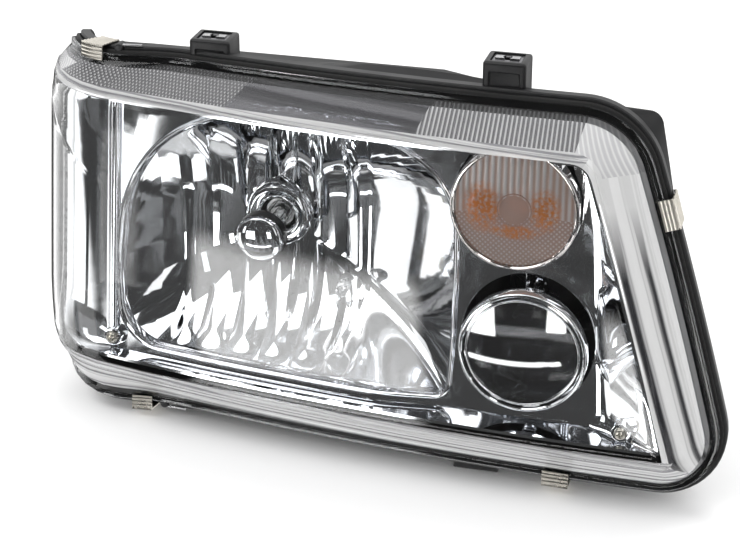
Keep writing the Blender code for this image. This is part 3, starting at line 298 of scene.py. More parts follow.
def as_data(mesh, name):
    """Closes a mesh that is being built and gives its data."""
    data = bpy.data.meshes.new(name)
    mesh.to_mesh(data)
    mesh.free()
    return data


def placed(name, data):
    """A new object in the scene with the given data."""
    item = bpy.data.objects.new(name, data)
    bpy.context.scene.collection.objects.link(item)
    return item


def smoothed(data, sharp=SHARP_EDGE):
    data.shade_smooth()
    data.set_sharp_from_angle(angle=math.radians(sharp))


def merged(*meshes):
    whole = bmesh.new()
    for mesh in meshes:
        data = as_data(mesh, "part")
        whole.from_mesh(data)
        bpy.data.meshes.remove(data)
    return whole


def piece(name, mesh, slot, body="housing", stands_for=(), materials=None, sharp=SHARP_EDGE):
    """Adds a finished mesh, given in the design frame, to the body that it moves with.

    It wears the finished material of its slot unless other materials are given.
    """
    bmesh.ops.translate(mesh, vec=ORIGIN, verts=mesh.verts)
    data = as_data(mesh, name)
    for material in materials or [LOOKS[slot]]:
        data.materials.append(material)
    smoothed(data, sharp)
    item = placed(name, data)
    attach(item, body)
    if stands_for:
        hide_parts(*stands_for)
    return item


def carve(item, meshes):
    """Cuts the given closed meshes out of a piece."""
    for mesh in meshes:
        bmesh.ops.translate(mesh, vec=ORIGIN, verts=mesh.verts)
        cutter = placed("cutter", as_data(mesh, "cutter"))
        modifier = item.modifiers.new("cut", "BOOLEAN")
        modifier.operation, modifier.solver, modifier.object = "DIFFERENCE", "EXACT", cutter
        made = bpy.data.meshes.new_from_object(item.evaluated_get(bpy.context.evaluated_depsgraph_get()))
        item.modifiers.clear()
        item.data = made
        bpy.data.objects.remove(cutter, do_unlink=True)
    smoothed(item.data)


# ---- materials ------------------------------------------------------------------------------


def math_node(tree, operation, *values):
    node = tree.nodes.new("ShaderNodeMath")
    node.operation = operation
    for i, value in enumerate(values):
        if isinstance(value, (int, float)):
            node.inputs[i].default_value = value
        else:
            tree.links.new(value, node.inputs[i])
    return node.outputs[0]


def smooth_edge(tree, value, low, high):
    """0 below low, 1 above high, and an even step between them."""
    node = tree.nodes.new("ShaderNodeMapRange")
    node.interpolation_type = "SMOOTHSTEP"
    node.inputs["From Min"].default_value, node.inputs["From Max"].default_value = low, high
    tree.links.new(value, node.inputs["Value"])
    return node.outputs["Result"]


class Shader:
    """A Principled material with short calls for the procedural nodes that feed it."""

    def __init__(self, name, colour, rough, metal=0.0):
        self.material = bpy.data.materials.new(name)
        self.material.use_nodes = True
        self.nodes = self.material.node_tree.nodes
        self.links = self.material.node_tree.links
        self.main = self.nodes["Principled BSDF"]
        self.set("Base Color", (*colour, 1.0))
        self.set("Roughness", rough)
        self.set("Metallic", metal)
        self.place = self.nodes.new("ShaderNodeTexCoord").outputs["Object"]
        self.math = partial(math_node, self.material.node_tree)

    def set(self, socket, value):
        self.main.inputs[socket].default_value = value

    def noise(self, scale, detail=3.0, stretch=(1, 1, 1)):
        mapping = self.nodes.new("ShaderNodeMapping")
        mapping.inputs["Scale"].default_value = stretch
        self.links.new(self.place, mapping.inputs["Vector"])
        noise = self.nodes.new("ShaderNodeTexNoise")
        noise.inputs["Scale"].default_value = scale
        noise.inputs["Detail"].default_value = detail
        self.links.new(mapping.outputs["Vector"], noise.inputs["Vector"])
        return noise.outputs["Fac"]

    def across(self, socket, low, high, source):
        """Feeds a socket with source mapped from 0..1 to low..high."""
        ranged = self.nodes.new("ShaderNodeMapRange")
        ranged.inputs["To Min"].default_value = low
        ranged.inputs["To Max"].default_value = high
        self.links.new(source, ranged.inputs["Value"])
        self.links.new(ranged.outputs["Result"], self.main.inputs[socket])

    def tint(self, first, second, source):
        """Mixes the base colour. The first colour may be the output of another node."""
        mix = self.nodes.new("ShaderNodeMix")
        mix.data_type = "RGBA"
        if isinstance(first, tuple):
            mix.inputs["A"].default_value = (*first, 1.0)
        else:
            self.links.new(first, mix.inputs["A"])
        mix.inputs["B"].default_value = (*second, 1.0)
        self.links.new(source, mix.inputs["Factor"])
        self.links.new(mix.outputs["Result"], self.main.inputs["Base Color"])

    def bump(self, source, distance, strength=1.0):
        bump = self.nodes.new("ShaderNodeBump")
        bump.inputs["Distance"].default_value = distance
        bump.inputs["Strength"].default_value = strength
        self.links.new(source, bump.inputs["Height"])
        self.links.new(bump.outputs["Normal"], self.main.inputs["Normal"])

    def painted_glow(self, lobes, colour):
        """Mixes a painted glow colour in round the given places (x, z, half width, half height)."""
        x, _, z = self.split(self.place)
        glow = None
        for middle_x, middle_z, half_x, half_z in lobes:
            across = self.math("MULTIPLY", self.math("SUBTRACT", x, middle_x), 1 / half_x)
            upward = self.math("MULTIPLY", self.math("SUBTRACT", z, middle_z), 1 / half_z)
            spread = self.math("ADD", self.math("MULTIPLY", across, across), self.math("MULTIPLY", upward, upward))
            lobe = self.math("MAXIMUM", self.math("SUBTRACT", 1.0, spread), 0.0)
            glow = self.math("MAXIMUM", glow, lobe) if glow else lobe
        speckle = self.math("MULTIPLY_ADD", self.noise(420, 2), 4.0, -1.2)
        share = self.math("MAXIMUM", self.math("MULTIPLY", glow, speckle), 0.0)
        cold = self.main.inputs["Base Color"].links[0].from_socket
        self.tint(cold, colour, self.math("MINIMUM", share, 1.0))

    def split(self, vector):
        node = self.nodes.new("ShaderNodeSeparateXYZ")
        self.links.new(vector, node.inputs[0])
        return node.outputs

    def uv(self):
        return self.split(self.nodes.new("ShaderNodeUVMap").outputs["UV"])


def plastic(name, colour, rough, grain=900, depth=0.00012):
    shader = Shader(name, colour, rough)
    fine = shader.noise(grain, 4)
    shader.bump(fine, depth, 0.5)
    shader.across("Roughness", rough - 0.1, rough + 0.12, shader.noise(40, 5))
    lighter = tuple(min(c * 1.5 + 0.004, 1.0) for c in colour)
    shader.tint(colour, lighter, shader.noise(18, 6))
    return shader.material


def metal(name, colour, rough, ripple=60, depth=0.00004, spread=0.04):
    shader = Shader(name, colour, rough, 1.0)
    shader.bump(shader.noise(ripple, 2), depth, 0.5)
    shader.across("Roughness", max(rough - spread, 0.01), rough + spread, shader.noise(35, 5))
    shader.tint(colour, tuple(c * 0.94 for c in colour), shader.noise(24, 4))
    return shader.material


def brushed(name, colour, rough, stretch):
    shader = Shader(name, colour, rough, 1.0)
    shader.bump(shader.noise(700, 3, stretch), 0.00005, 0.6)
    shader.across("Roughness", rough - 0.08, rough + 0.14, shader.noise(60, 5))
    shader.tint(colour, tuple(c * 0.72 for c in colour), shader.noise(90, 6))
    return shader.material


def glass(name, colour, rough=0.0, ior=1.45, ripple=14, depth=0.00003):
    shader = Shader(name, colour, rough)
    shader.set("Transmission Weight", 1.0)
    shader.set("IOR", ior)
    shader.bump(shader.noise(ripple, 2), depth, 0.4)
    shader.tint(colour, tuple(c * 0.97 for c in colour), shader.noise(20, 3))
    return shader.material


def patterned_glass(name, pitch, slants, dark, light, rough=0.06, depth=0.0003, clear=0.85, sharp=0.35, glow=()):
    """Glass with moulded lines at the given slants. Painted highlights lie on the lines' crests, painted shade in
    their valleys.
    """
    shader = Shader(name, light, rough)
    shader.set("Transmission Weight", clear)
    shader.set("IOR", 1.4)
    u, v, _ = shader.uv()
    height = None
    for slant in slants:
        along = shader.math("ADD", u, shader.math("MULTIPLY", v, slant))
        wave = shader.math("SINE", shader.math("MULTIPLY", along, 2 * math.pi / pitch))
        wave = shader.math("MULTIPLY_ADD", wave, 0.5, 0.5)
        height = shader.math("MULTIPLY", height, wave) if height else wave
    crest = shader.math("POWER", height, 1 / sharp)
    shader.bump(height, depth, 0.7)
    # Painted highlights on the crests and painted shade in the valleys, broken up by noise.
    painted_crest_highlight = shader.math("MULTIPLY", crest, shader.math("ADD", shader.noise(30, 3), 0.55))
    shader.tint(dark, light, painted_crest_highlight)
    # Painted amber glow of the bulb, where glow places are given.
    if glow:
        shader.painted_glow(glow, (1.0, 0.4, 0.14))
    shader.across("Roughness", max(rough - 0.03, 0.0), rough + 0.05, shader.noise(80, 3))
    return shader.material


def streaked_glass(name, across, scale, dark, light, rough=0.04, clear=0.5, fade=None):
    """Glass wall with uneven streaks of painted reflection, light and dark, that run along it. The weights say which
    way is across.

    With fade, painted light takes over the streaks between the two heights.
    """
    shader = Shader(name, light, rough)
    shader.set("Transmission Weight", clear)
    shader.set("IOR", 1.4)
    u, v, _ = shader.uv()
    place = shader.math("ADD", shader.math("MULTIPLY", u, across[0]), shader.math("MULTIPLY", v, across[1]))
    drift = shader.math("MULTIPLY", shader.noise(9, 2), 0.003)
    streak = shader.nodes.new("ShaderNodeTexNoise")
    streak.noise_dimensions = "1D"
    streak.inputs["Scale"].default_value = scale
    streak.inputs["Detail"].default_value = 2.5
    shader.links.new(shader.math("ADD", place, drift), streak.inputs["W"])
    # Painted reflection streaks: light where the noise is high, dark where it is low.
    painted_streak_light = smooth_edge(shader.material.node_tree, streak.outputs["Fac"], 0.36, 0.54)
    if fade:
        rise = shader.math("MULTIPLY", shader.math("SUBTRACT", v, fade[0]), 1 / (fade[1] - fade[0]))
        rise = shader.math("MINIMUM", shader.math("MAXIMUM", rise, 0.0), 0.85)
        painted_streak_light = shader.math("MAXIMUM", painted_streak_light, rise)
    shader.tint(dark, light, painted_streak_light)
    shader.bump(streak.outputs["Fac"], 0.002, 0.7)
    shader.across("Roughness", rough, rough + 0.06, shader.noise(70, 3))
    return shader.material


def adjusted(material, **values):
    """Sets more inputs of a material's surface, with _ for each space in their names."""
    for name, value in values.items():
        material.node_tree.nodes["Principled BSDF"].inputs[name.replace("_", " ")].default_value = value


LOOKS = {
    "housing_black": plastic("moulded_black", (0.006, 0.006, 0.0066), 0.4),
    "seal_black": plastic("rubber_black", (0.004, 0.004, 0.004), 0.6, 500, 0.0002),
    "chrome": metal("metallised", (0.9, 0.91, 0.93), 0.045, 55, 0.00003, 0.02),
    "zinc": brushed("zinc_spring_steel", (0.8, 0.76, 0.68), 0.26, (1, 1, 8)),
    "steel": brushed("bright_steel", (0.6, 0.6, 0.61), 0.28, (1, 8, 1)),
    "carrier_grey": plastic("carrier_grey", (0.12, 0.12, 0.13), 0.45),
    "knob_white": plastic("knob_white", (0.66, 0.66, 0.62), 0.4),
    "lens_clear": glass("lens_clear_glass", (0.985, 0.99, 0.99), 0.0, 1.42, 9, 0.00004),
    "bulb_glass": glass("bulb_clear_glass", (0.97, 0.98, 0.98), 0.0, 1.4, 30, 0.00003),
    "amber": glass("amber_glass", (1.0, 0.36, 0.05), 0.06, 1.45, 40, 0.00005),
    "lead_black": plastic("lead_black", (0.008, 0.008, 0.009), 0.4),
}
# Painted shade for the valleys of the lens's moulded lines. The light colour is the clear glass, and its crests read
# as painted highlights.
PAINTED_VALLEY_SHADE, LIGHT_BAND = (0.24, 0.24, 0.25), (0.97, 0.97, 0.98)
# Band materials paint light and shade on the clear lens: painted shade and crest highlights, a painted dark band, a
# painted bright corner and painted reflection streaks.
BANDS = (
    patterned_glass("lens_knurl", 0.0026, (1.0, -1.0), PAINTED_VALLEY_SHADE, LIGHT_BAND, clear=0.66, sharp=0.6),
    streaked_glass("lens_band_painted_shade", (0.03, 1.0), 170, (0.15, 0.15, 0.16), (0.34, 0.34, 0.36), clear=0.75),
    patterned_glass("lens_flutes", 0.003, (0.25,), PAINTED_VALLEY_SHADE, LIGHT_BAND, clear=0.66, sharp=0.5),
    patterned_glass("lens_corner_painted_highlight", 0.003, (0.6,), (0.74, 0.74, 0.75), (1.0, 1.0, 1.0), clear=0.52),
    streaked_glass(
        "lens_side_wall", (1.0, 0.332), 150, (0.04, 0.04, 0.045), (1.0, 1.0, 1.0), 0.02, fade=(0.015, 0.066)
    ),
    streaked_glass("lens_foot_wall", (0.02, 1.0), 150, (0.26, 0.26, 0.28), (1.0, 1.0, 1.0), 0.02),
    streaked_glass("lens_crease", (0.03, 1.0), 420, (0.42, 0.42, 0.44), (1.0, 1.0, 1.0), clear=0.62),
)
RIM_GLASS = glass("lens_rim_glass", (0.62, 0.63, 0.64), 0.03, 1.45, 40, 0.00002)
# Places of the painted amber glow of the indicator bulb on the indicator's glass and dish.
GLOW_PLACES = ((-0.021, 0.0, 0.014, 0.02), (0.02, 0.001, 0.012, 0.017), (0.0, -0.0155, 0.02, 0.006))
GLOW = [
    (ORIGIN.x + INDICATOR.x + x, ORIGIN.z + INDICATOR.z + z, half_x, half_z) for x, z, half_x, half_z in GLOW_PLACES
]
# Indicator glass: its own smoky tint, painted highlights on the crests of its lines and the painted amber glow of the
# bulb.
SMOKE = patterned_glass(
    "indicator_flutes", 0.0042, (0.0,), (0.78, 0.58, 0.5), (1.0, 0.98, 0.97), 0.05, 0.0003, 0.55, 0.9, GLOW
)
SMOKE_DOTS = patterned_glass(
    "indicator_dots", 0.0036, (1.0, -1.0), (0.7, 0.52, 0.45), (1.0, 0.97, 0.95), 0.05, 0.0003, 0.55, 0.8, GLOW
)
SMOKE_CLEAR = glass("indicator_centre_glass", (0.8, 0.58, 0.5), 0.25, 1.4, 60, 0.0001)
adjusted(SMOKE_CLEAR, Transmission_Weight=0.6)
FOG_GLASS = glass("fog_lens_glass", (0.2, 0.2, 0.21), 0.0, 1.45, 20, 0.00002)
adjusted(FOG_GLASS, Coat_Weight=1.0, Coat_IOR=3.2, Coat_Roughness=0.0)
AMBER_SOLID = metal("amber_lacquer", (0.85, 0.27, 0.03), 0.22, 60, 0.00004, 0.05)
NUT_STEEL = brushed("dark_spring_steel", (0.24, 0.24, 0.25), 0.32, (1, 8, 1))


def dress_nodes():
    """Every CAD node that stays in view takes the finished material of its slot."""
    for row in frame["record"]["subparts"]:
        item = frame["nodes"][row["node"]]
        for spot in item.material_slots:
            spot.material = LOOKS[row["material_slot"]]


# ---- lens, seal, clips ------------------------------------------------------------------------


CLEAR_SLOT, RIM_SLOT, BAND_SLOT = 0, 1, 2
KNURL, DARK, FLUTES, CORNER, SIDE, FOOT, PLAIN_CREASE = range(len(BANDS))
CREASE_SLOT = BAND_SLOT + PLAIN_CREASE
FRONT_DEPTH, FRONT_INSIDE = 0.0303, 0.0273
DOME_START, DOME_STEP, DOME_RISE, DOME_RINGS = 0.005, 0.0058, 0.0047, 13


def make_lens():
    """The lens: a rim, a wall with bands of different relief and painted light and shade, a crease and a clear, domed
    front.
    """
    foot = rim_layer(0.0045, 0.0004)
    crease = layer(WINDOW, -0.0012, 0.0268)
    rings = [rim_layer(0.0006, -0.003), rim_layer(0.0, -0.0024), rim_layer(0.0, -0.0006), rim_layer(0.0006, 0.0)]
    rings += [rim_layer(0.0035, 0.0), foot]
    slots = [RIM_SLOT] * len(rings)
    for t in (0.2, 0.4, 0.6, 0.8):
        rings.append(mixed(foot, crease, t))
        slots.append(BAND_SLOT)
    rings.append(crease)
    slots.append(CREASE_SLOT)
    beads = ((0.0002, 0.0286), (0.0012, 0.0291), (0.002, 0.0287), (0.0028, 0.029), (0.0038, 0.0298))
    for inset, depth in beads:
        rings.append(layer(WINDOW, inset, depth))
        slots.append(CREASE_SLOT)
    front = []
    for i in range(DOME_RINGS):
        turn = math.pi / 2 * i / (DOME_RINGS - 1)
        front.append((DOME_START + DOME_STEP * i, DOME_RISE * math.sin(turn)))
    rings += [layer(WINDOW, inset, FRONT_DEPTH + rise) for inset, rise in front]
    outer = len(rings)
    rings += [layer(WINDOW, inset, FRONT_INSIDE + rise) for inset, rise in front[::-1]]
    slots += [CLEAR_SLOT] * (2 * DOME_RINGS)
    inner_foot = rim_layer(0.008, -0.003)
    inner_crease = layer(WINDOW, 0.0045, 0.0262)
    for t in (1.0, 0.75, 0.5, 0.25, 0.0):
        rings.append(mixed(inner_foot, inner_crease, t))
        slots.append(BAND_SLOT if t > 0 else RIM_SLOT)
    points = skin(rings)
    mesh = loft(points, closed=True, slots=slots, chart=rings)
    mesh.faces.ensure_lookup_table()
    count = len(points[0])
    right_start = 6 + 2 * (ARC_STEPS + 1) + CUTS
    corner_start = right_start + SIDE_CUTS
    top_start = corner_start + ARC_STEPS + 1
    foot_ring = rings[6]
    for index, face in enumerate(mesh.faces):
        column = index % count
        s = foot_ring[column][0]
        in_top = column >= top_start - 2
        if face.material_index == CREASE_SLOT and right_start - 4 <= column < corner_start + 8:
            face.material_index = BAND_SLOT + SIDE
        # The band zones wear lens materials with painted highlights, painted shade and painted reflection streaks.
        if face.material_index == BAND_SLOT:
            if corner_start <= column < top_start - 2:
                zone = CORNER
            elif in_top and column < top_start + CUTS + ARC_STEPS - 2:
                zone = KNURL if s < -0.092 else DARK if s < 0.031 else FLUTES
                # A patch of painted highlight at the band's top-left corner.
                zone = CORNER if s < -0.212 and index // count > 6 else zone
            elif in_top:
                zone = CORNER
            else:
                zone = SIDE if column >= right_start - 9 else FOOT
            face.material_index = BAND_SLOT + zone
    doomed = mesh.faces[(outer - 1) * count : outer * count]
    bmesh.ops.delete(mesh, geom=doomed, context="FACES_ONLY")
    mesh.verts.ensure_lookup_table()
    for k in (outer - 1, outer):
        loop = [mesh.verts[k * count + i] for i in range(count)]
        for i in range(count // 2 - 1):
            mesh.faces.new((loop[i], loop[i + 1], loop[-2 - i], loop[-1 - i]))
    bmesh.ops.recalc_face_normals(mesh, faces=mesh.faces)
    piece("lens_glass", mesh, "lens_clear", "housing", ["lens"], [LOOKS["lens_clear"], RIM_GLASS, *BANDS], 28)


def make_seal():
    section = ((-0.0012, -0.0034), (-0.002, -0.004), (-0.002, -0.0058), (-0.0012, -0.0064))
    section += ((0.007, -0.0064), (0.007, -0.0034))
    mesh = loft(skin([rim_layer(inset, depth) for inset, depth in section]), closed=True)
    piece("rubber_seal", mesh, "seal_black", "housing", ["lens_seal"])


def make_clips():
    """Folded spring clips with ribbed faces, and the small black pegs beside two of them."""
    steel, inside, outside, back = 0.0008, -0.004, FLANGE_OUTSET + 0.0007, FLANGE_BACK - 0.0009
    outer = [(inside + (outside + steel - inside) * i / 12, 0.0017) for i in range(12)]
    outer += [(outside + steel, 0.0017 - (0.0017 - back + steel) * i / 20) for i in range(21)]
    ribbed = []
    for i, (out, depth) in enumerate(outer):
        rib = 0.00035 * math.cos(2 * math.pi * i / 3.0)
        ribbed.append((out, depth + rib) if i < 12 else (out + rib, depth))
    section = [(0.0036, back - steel), (0.0036, back), (outside, back), (outside, 0.0009), (inside, 0.0009), *ribbed]
    places = (("top_left", 3, 2, 0.125, 0.014), ("right", 2, 1, 0.256, 0.02))
    places += (("bottom_left", 0, 1, 0.173, 0.014), ("bottom_right", 0, 1, 0.765, 0.018))
    for name, start, end, t, length in places:
        first, last = Vector(RIM[start][:2]), Vector(RIM[end][:2])
        along = (last - first).normalized()
        outward = Vector((along.y, -along.x)) * (-1 if name in ("top_left", "right") else 1)
        centre = first + (last - first) * t + outward * (0.0012 if name == "right" else 0.0)

        def spot(step, out, depth):
            flat = centre + along * step + outward * out
            return on_surface(flat.x, flat.y, rim_depth(flat.x) + depth)

        rings = [[spot(length * (k / 8 - 0.5), out, depth) for out, depth in section] for k in range(9)]
        piece("clip_" + name, capped(rings), "zinc", "housing", ["lens_clip_" + name], sharp=40)
        if name in ("top_left", "bottom_left"):
            reach = length / 2 + 0.0045
            peg = turned(rounded(((0, 0), (0.003, 0), (0.003, 0.009), (0, 0.009)), 0.0008), Vector((0, 0, 0)), 40)
            place = spot(reach, FLANGE_OUTSET - 0.001, -0.013)
            bmesh.ops.transform(peg, matrix=Matrix.Rotation(math.radians(180), 4, "Z"), verts=peg.verts)
            bmesh.ops.translate(peg, vec=place, verts=peg.verts)
            piece("clip_peg_" + name, peg, "lead_black")
            thick, turns = 0.0009, [math.pi * j / 6 for j in range(12)]
            circle = [(FLANGE_OUTSET + thick + thick * math.cos(a), -0.006 + thick * math.sin(a)) for a in turns]
            wire = [[spot(reach + 0.004 + 0.0011 * k, out, depth) for out, depth in circle] for k in range(13)]
            piece("clip_wire_" + name, capped(wire), "steel")


# ---- housing -----------------------------------------------------------------------------------


def crowned(ring):
    raised = []
    for s, z, depth in ring:
        reach = (s - BODY_CROWN_CENTRE) / BODY_CROWN_HALF
        raised.append((s, z + (BODY_CROWN * max(1 - reach * reach, 0.0) if z > 0.08 else 0.0), depth))
    return raised


def back_ring(inset, forward):
    places = [-0.188 + 0.008 * i for i in range(CUTS)]
    ring = []
    for x, z in outline(BACK, inset, places):
        step = min(max((x - STEP_FROM) / (STEP_TO - STEP_FROM), 0.0), 1.0)
        ring.append(Vector((x, DEEP_BACK + (STEP_BACK - DEEP_BACK) * step - forward, z)))
    return ring


def housing_shell():
    outer_body = skin([crowned(rim_layer(0.0, BODY_DEPTH, BODY))])[0]
    inner_body = skin([crowned(rim_layer(0.0045, BODY_DEPTH - 0.002, BODY))])[0]
    front = skin([
        rim_layer(0.001, FLANGE_BACK - 0.001),
        rim_layer(-FLANGE_OUTSET + 0.0008, FLANGE_BACK),
        rim_layer(-FLANGE_OUTSET, FLANGE_BACK + 0.0008),
        rim_layer(-FLANGE_OUTSET, FLANGE_FRONT - 0.0008),
        rim_layer(-FLANGE_OUTSET + 0.0008, FLANGE_FRONT),
        rim_layer(0.009, FLANGE_FRONT),
        rim_layer(0.009, FLANGE_BACK - 0.003),
    ])
    rings = [back_ring(0.003, 0.0), back_ring(0.0008, 0.0008), back_ring(0.0, 0.003)]
    start = rings[-1]
    for t in (0.25, 0.5, 0.75, 0.97):
        rings.append([a.lerp(b, t) for a, b in zip(start, outer_body)])
    rings += [outer_body] + front + [inner_body, back_ring(0.003, 0.003)]
    return loft(rings, caps=True)


def collar(centre, back, radius, length):
    profile = ((radius - 0.005, -0.003), (radius + 0.0015, -0.003), (radius + 0.0015, 0.0005), (radius, 0.002))
    profile += ((radius, length), (radius - 0.005, length))
    return turned(rounded(profile, 0.0005, 2), upright_place(centre, back))


def make_housing():
    shell = piece("housing_shell", housing_shell(), "housing_black", "housing", ["housing"], sharp=32)
    carve(shell, [
        rod(upright_place(BULB, DEEP_BACK - 0.012), 0.02, 0.0475, steps=96),
        rod(upright_place(FOG, STEP_BACK - 0.012), 0.02, 0.0295, steps=96),
    ])
    parts = [collar(BULB, DEEP_BACK, 0.052, 0.018), collar(FOG, STEP_BACK, 0.034, 0.014)]
    for x, y, width, depth in ((-0.145, 0.057, 0.028, 0.016), (0.07, 0.026, 0.032, 0.016),
                               (-0.185, 0.135, 0.022, 0.018), (0.14, 0.078, 0.022, 0.018)):
        top = -0.124 if y > 0.06 else -0.126
        parts.append(box((x - width / 2, y - depth / 2, -0.15), (x + width / 2, y + depth / 2, top), 0.0014))
        parts.append(box((x - 0.0015, y + depth / 2 - 0.002, -0.146), (x + 0.0015, y + depth / 2 + 0.01, top), 0.0006))
    for x in (-0.178, -0.128, -0.062):
        parts.append(box((x - 0.001, 0.1, -0.1265), (x + 0.001, 0.158, -0.1215), 0.0004))
    for x in (-0.2, -0.16, -0.12):
        parts.append(box((x - 0.001, 0.1585, 0.052), (x + 0.001, 0.1625, 0.084), 0.0004))
    for z in (-0.112, 0.05, 0.078):
        parts.append(box((-0.205, 0.1585, z - 0.001), (-0.05, 0.1625, z + 0.001), 0.0004))
    for z in (-0.112, -0.088, 0.008, 0.074):
        parts.append(box((0.06, 0.0985, z - 0.001), (0.165, 0.1025, z + 0.001), 0.0004))
    piece("housing_collars_and_feet", merged(*parts), "housing_black", sharp=32)
    for name, x, y, base, top in (("left", -0.134, 0.089, 0.098, 0.1225), ("right", 0.075, 0.067, 0.104, 0.133)):
        block = box((x - 0.0145, y - 0.012, base), (x + 0.0145, y + 0.012, top), 0.0022, 4)
        item = piece("tab_" + name, block, "housing_black")
        carve(item, [
            box((x - 0.0105, y - 0.0085, top - 0.003), (x + 0.0105, y + 0.0085, top + 0.006), 0.001),
            rod(Vector((x, y, top - 0.0085)), 0.012, 0.0034, "Z"),
            box((x - 0.0105, y - 0.015, base + 0.004), (x + 0.0105, y - 0.0108, top - 0.0065), 0.0012),
        ])
        low = (x - 0.01, y - 0.008, top - 0.0027)
        nut = box(low, (x + 0.01, y + 0.008, top - 0.001), 0.0005)
        blade = box((x - 0.0082, y - 0.0026, top - 0.0012), (x + 0.0082, y + 0.0026, top + 0.0003), 0.0003)
        blade_item = piece("nut_blade_" + name, blade, "steel")
        carve(blade_item, [rod(Vector((x, y, top - 0.006)), 0.012, 0.0031, "Z")])
        nut_item = piece("nut_" + name, nut, "steel", "housing", ["spring_nut_" + name], [NUT_STEEL])
        carve(nut_item, [rod(Vector((x, y, top - 0.006)), 0.012, 0.0031, "Z")])


# ---- trim ----------------------------------------------------------------------------------------


def make_bezel():
    cuts = [-0.18 + 0.0088 * i for i in range(CUTS)]
    back_face = layer(TRIM_FACE, -0.002, lambda s: trim_depth(s) - TRIM_WALL, cuts)
    back_lip = layer(WINDOW, 0.007, 0.0235)
    front_lip = layer(WINDOW, 0.009, 0.0235)
    front_face = layer(TRIM_FACE, 0.0, trim_depth, cuts)
    soft_face = layer(TRIM_FACE, 0.003, trim_depth, cuts)
    edge = mixed(front_lip, front_face, 0.96)
    rings = [mixed(back_face, back_lip, t / 4) for t in range(5)]
    rings += [mixed(front_lip, front_face, t / 5) for t in range(5)] + [edge, soft_face]
    item = piece("bezel_trim", loft(skin(rings), caps=True), "chrome", "housing", ["bezel"], sharp=30)
    opening = [layer(MAIN_OPENING, -0.0035, 0.06), layer(MAIN_OPENING, -0.0035, -0.06)]
    carve(item, [
        loft(skin(opening), caps=True),
        rod(upright_place(INDICATOR, -0.04), BOOLEAN_REACH, 0.0436, steps=96),
        rod(upright_place(FOG, -0.04), BOOLEAN_REACH, 0.0455, steps=96),
    ])
    section = ((-0.0042, -0.0008), (-0.0042, 0.0008), (-0.0034, 0.002), (-0.0024, 0.0024), (-0.0016, 0.002))
    section += ((-0.001, 0.001), (-0.0006, 0.0004), (0.0, -0.0006), (0.0004, -0.002), (0.0002, -0.007))
    lip = [layer(MAIN_OPENING, inset, lambda s, d=depth: trim_depth(s) + d) for inset, depth in section]
    piece("bezel_bowl_lip", loft(skin(lip)), "chrome", sharp=40)
    for name, x, y, z in (("right", 0.172, -0.011, -0.09), ("left", -0.197, 0.031, -0.088)):
        place = Vector((x, y, z))
        boss = turned(rounded(((0.0022, 0), (0.0065, 0), (0.0065, 0.016), (0.0022, 0.016)), 0.0006), place, 48)
        piece("bezel_boss_" + name, boss, "chrome")
        head = ((0, -0.003), (0.0026, -0.0029), (0.0038, -0.002), (0.0042, -0.0008), (0.0042, -0.0003), (0, -0.0003))
        screw = piece("trim_screw_" + name, turned(head, place, 48), "zinc", "housing", ["bezel_screw_" + name])
        low, high = (x - 0.0005, y - 0.004, z - 0.0022), (x + 0.0005, y - 0.0018, z + 0.0022)
        carve(screw, [spun(box(low, high, 0.0001, 1), place, turn) for turn in (0, 90)])
    pillar = []
    for k in range(13):
        a = math.pi * k / 12
        across, depth = -0.1985 - 0.0042 * math.cos(a), trim_depth(-0.2) + 0.001 + 0.0042 * math.sin(a)
        pillar.append([on_surface(across, -0.084 + 0.0415 * i / 10 * 4, depth) for i in range(11)])
    mesh = bmesh.new()
    rows = [[mesh.verts.new(p) for p in row] for row in pillar]
    for a, b in zip(rows, rows[1:]):
        for i in range(len(a) - 1):
            mesh.faces.new((a[i], a[i + 1], b[i + 1], b[i]))
    piece("bezel_pillar", mesh, "chrome")


# ---- main lamp -------------------------------------------------------------------------------------


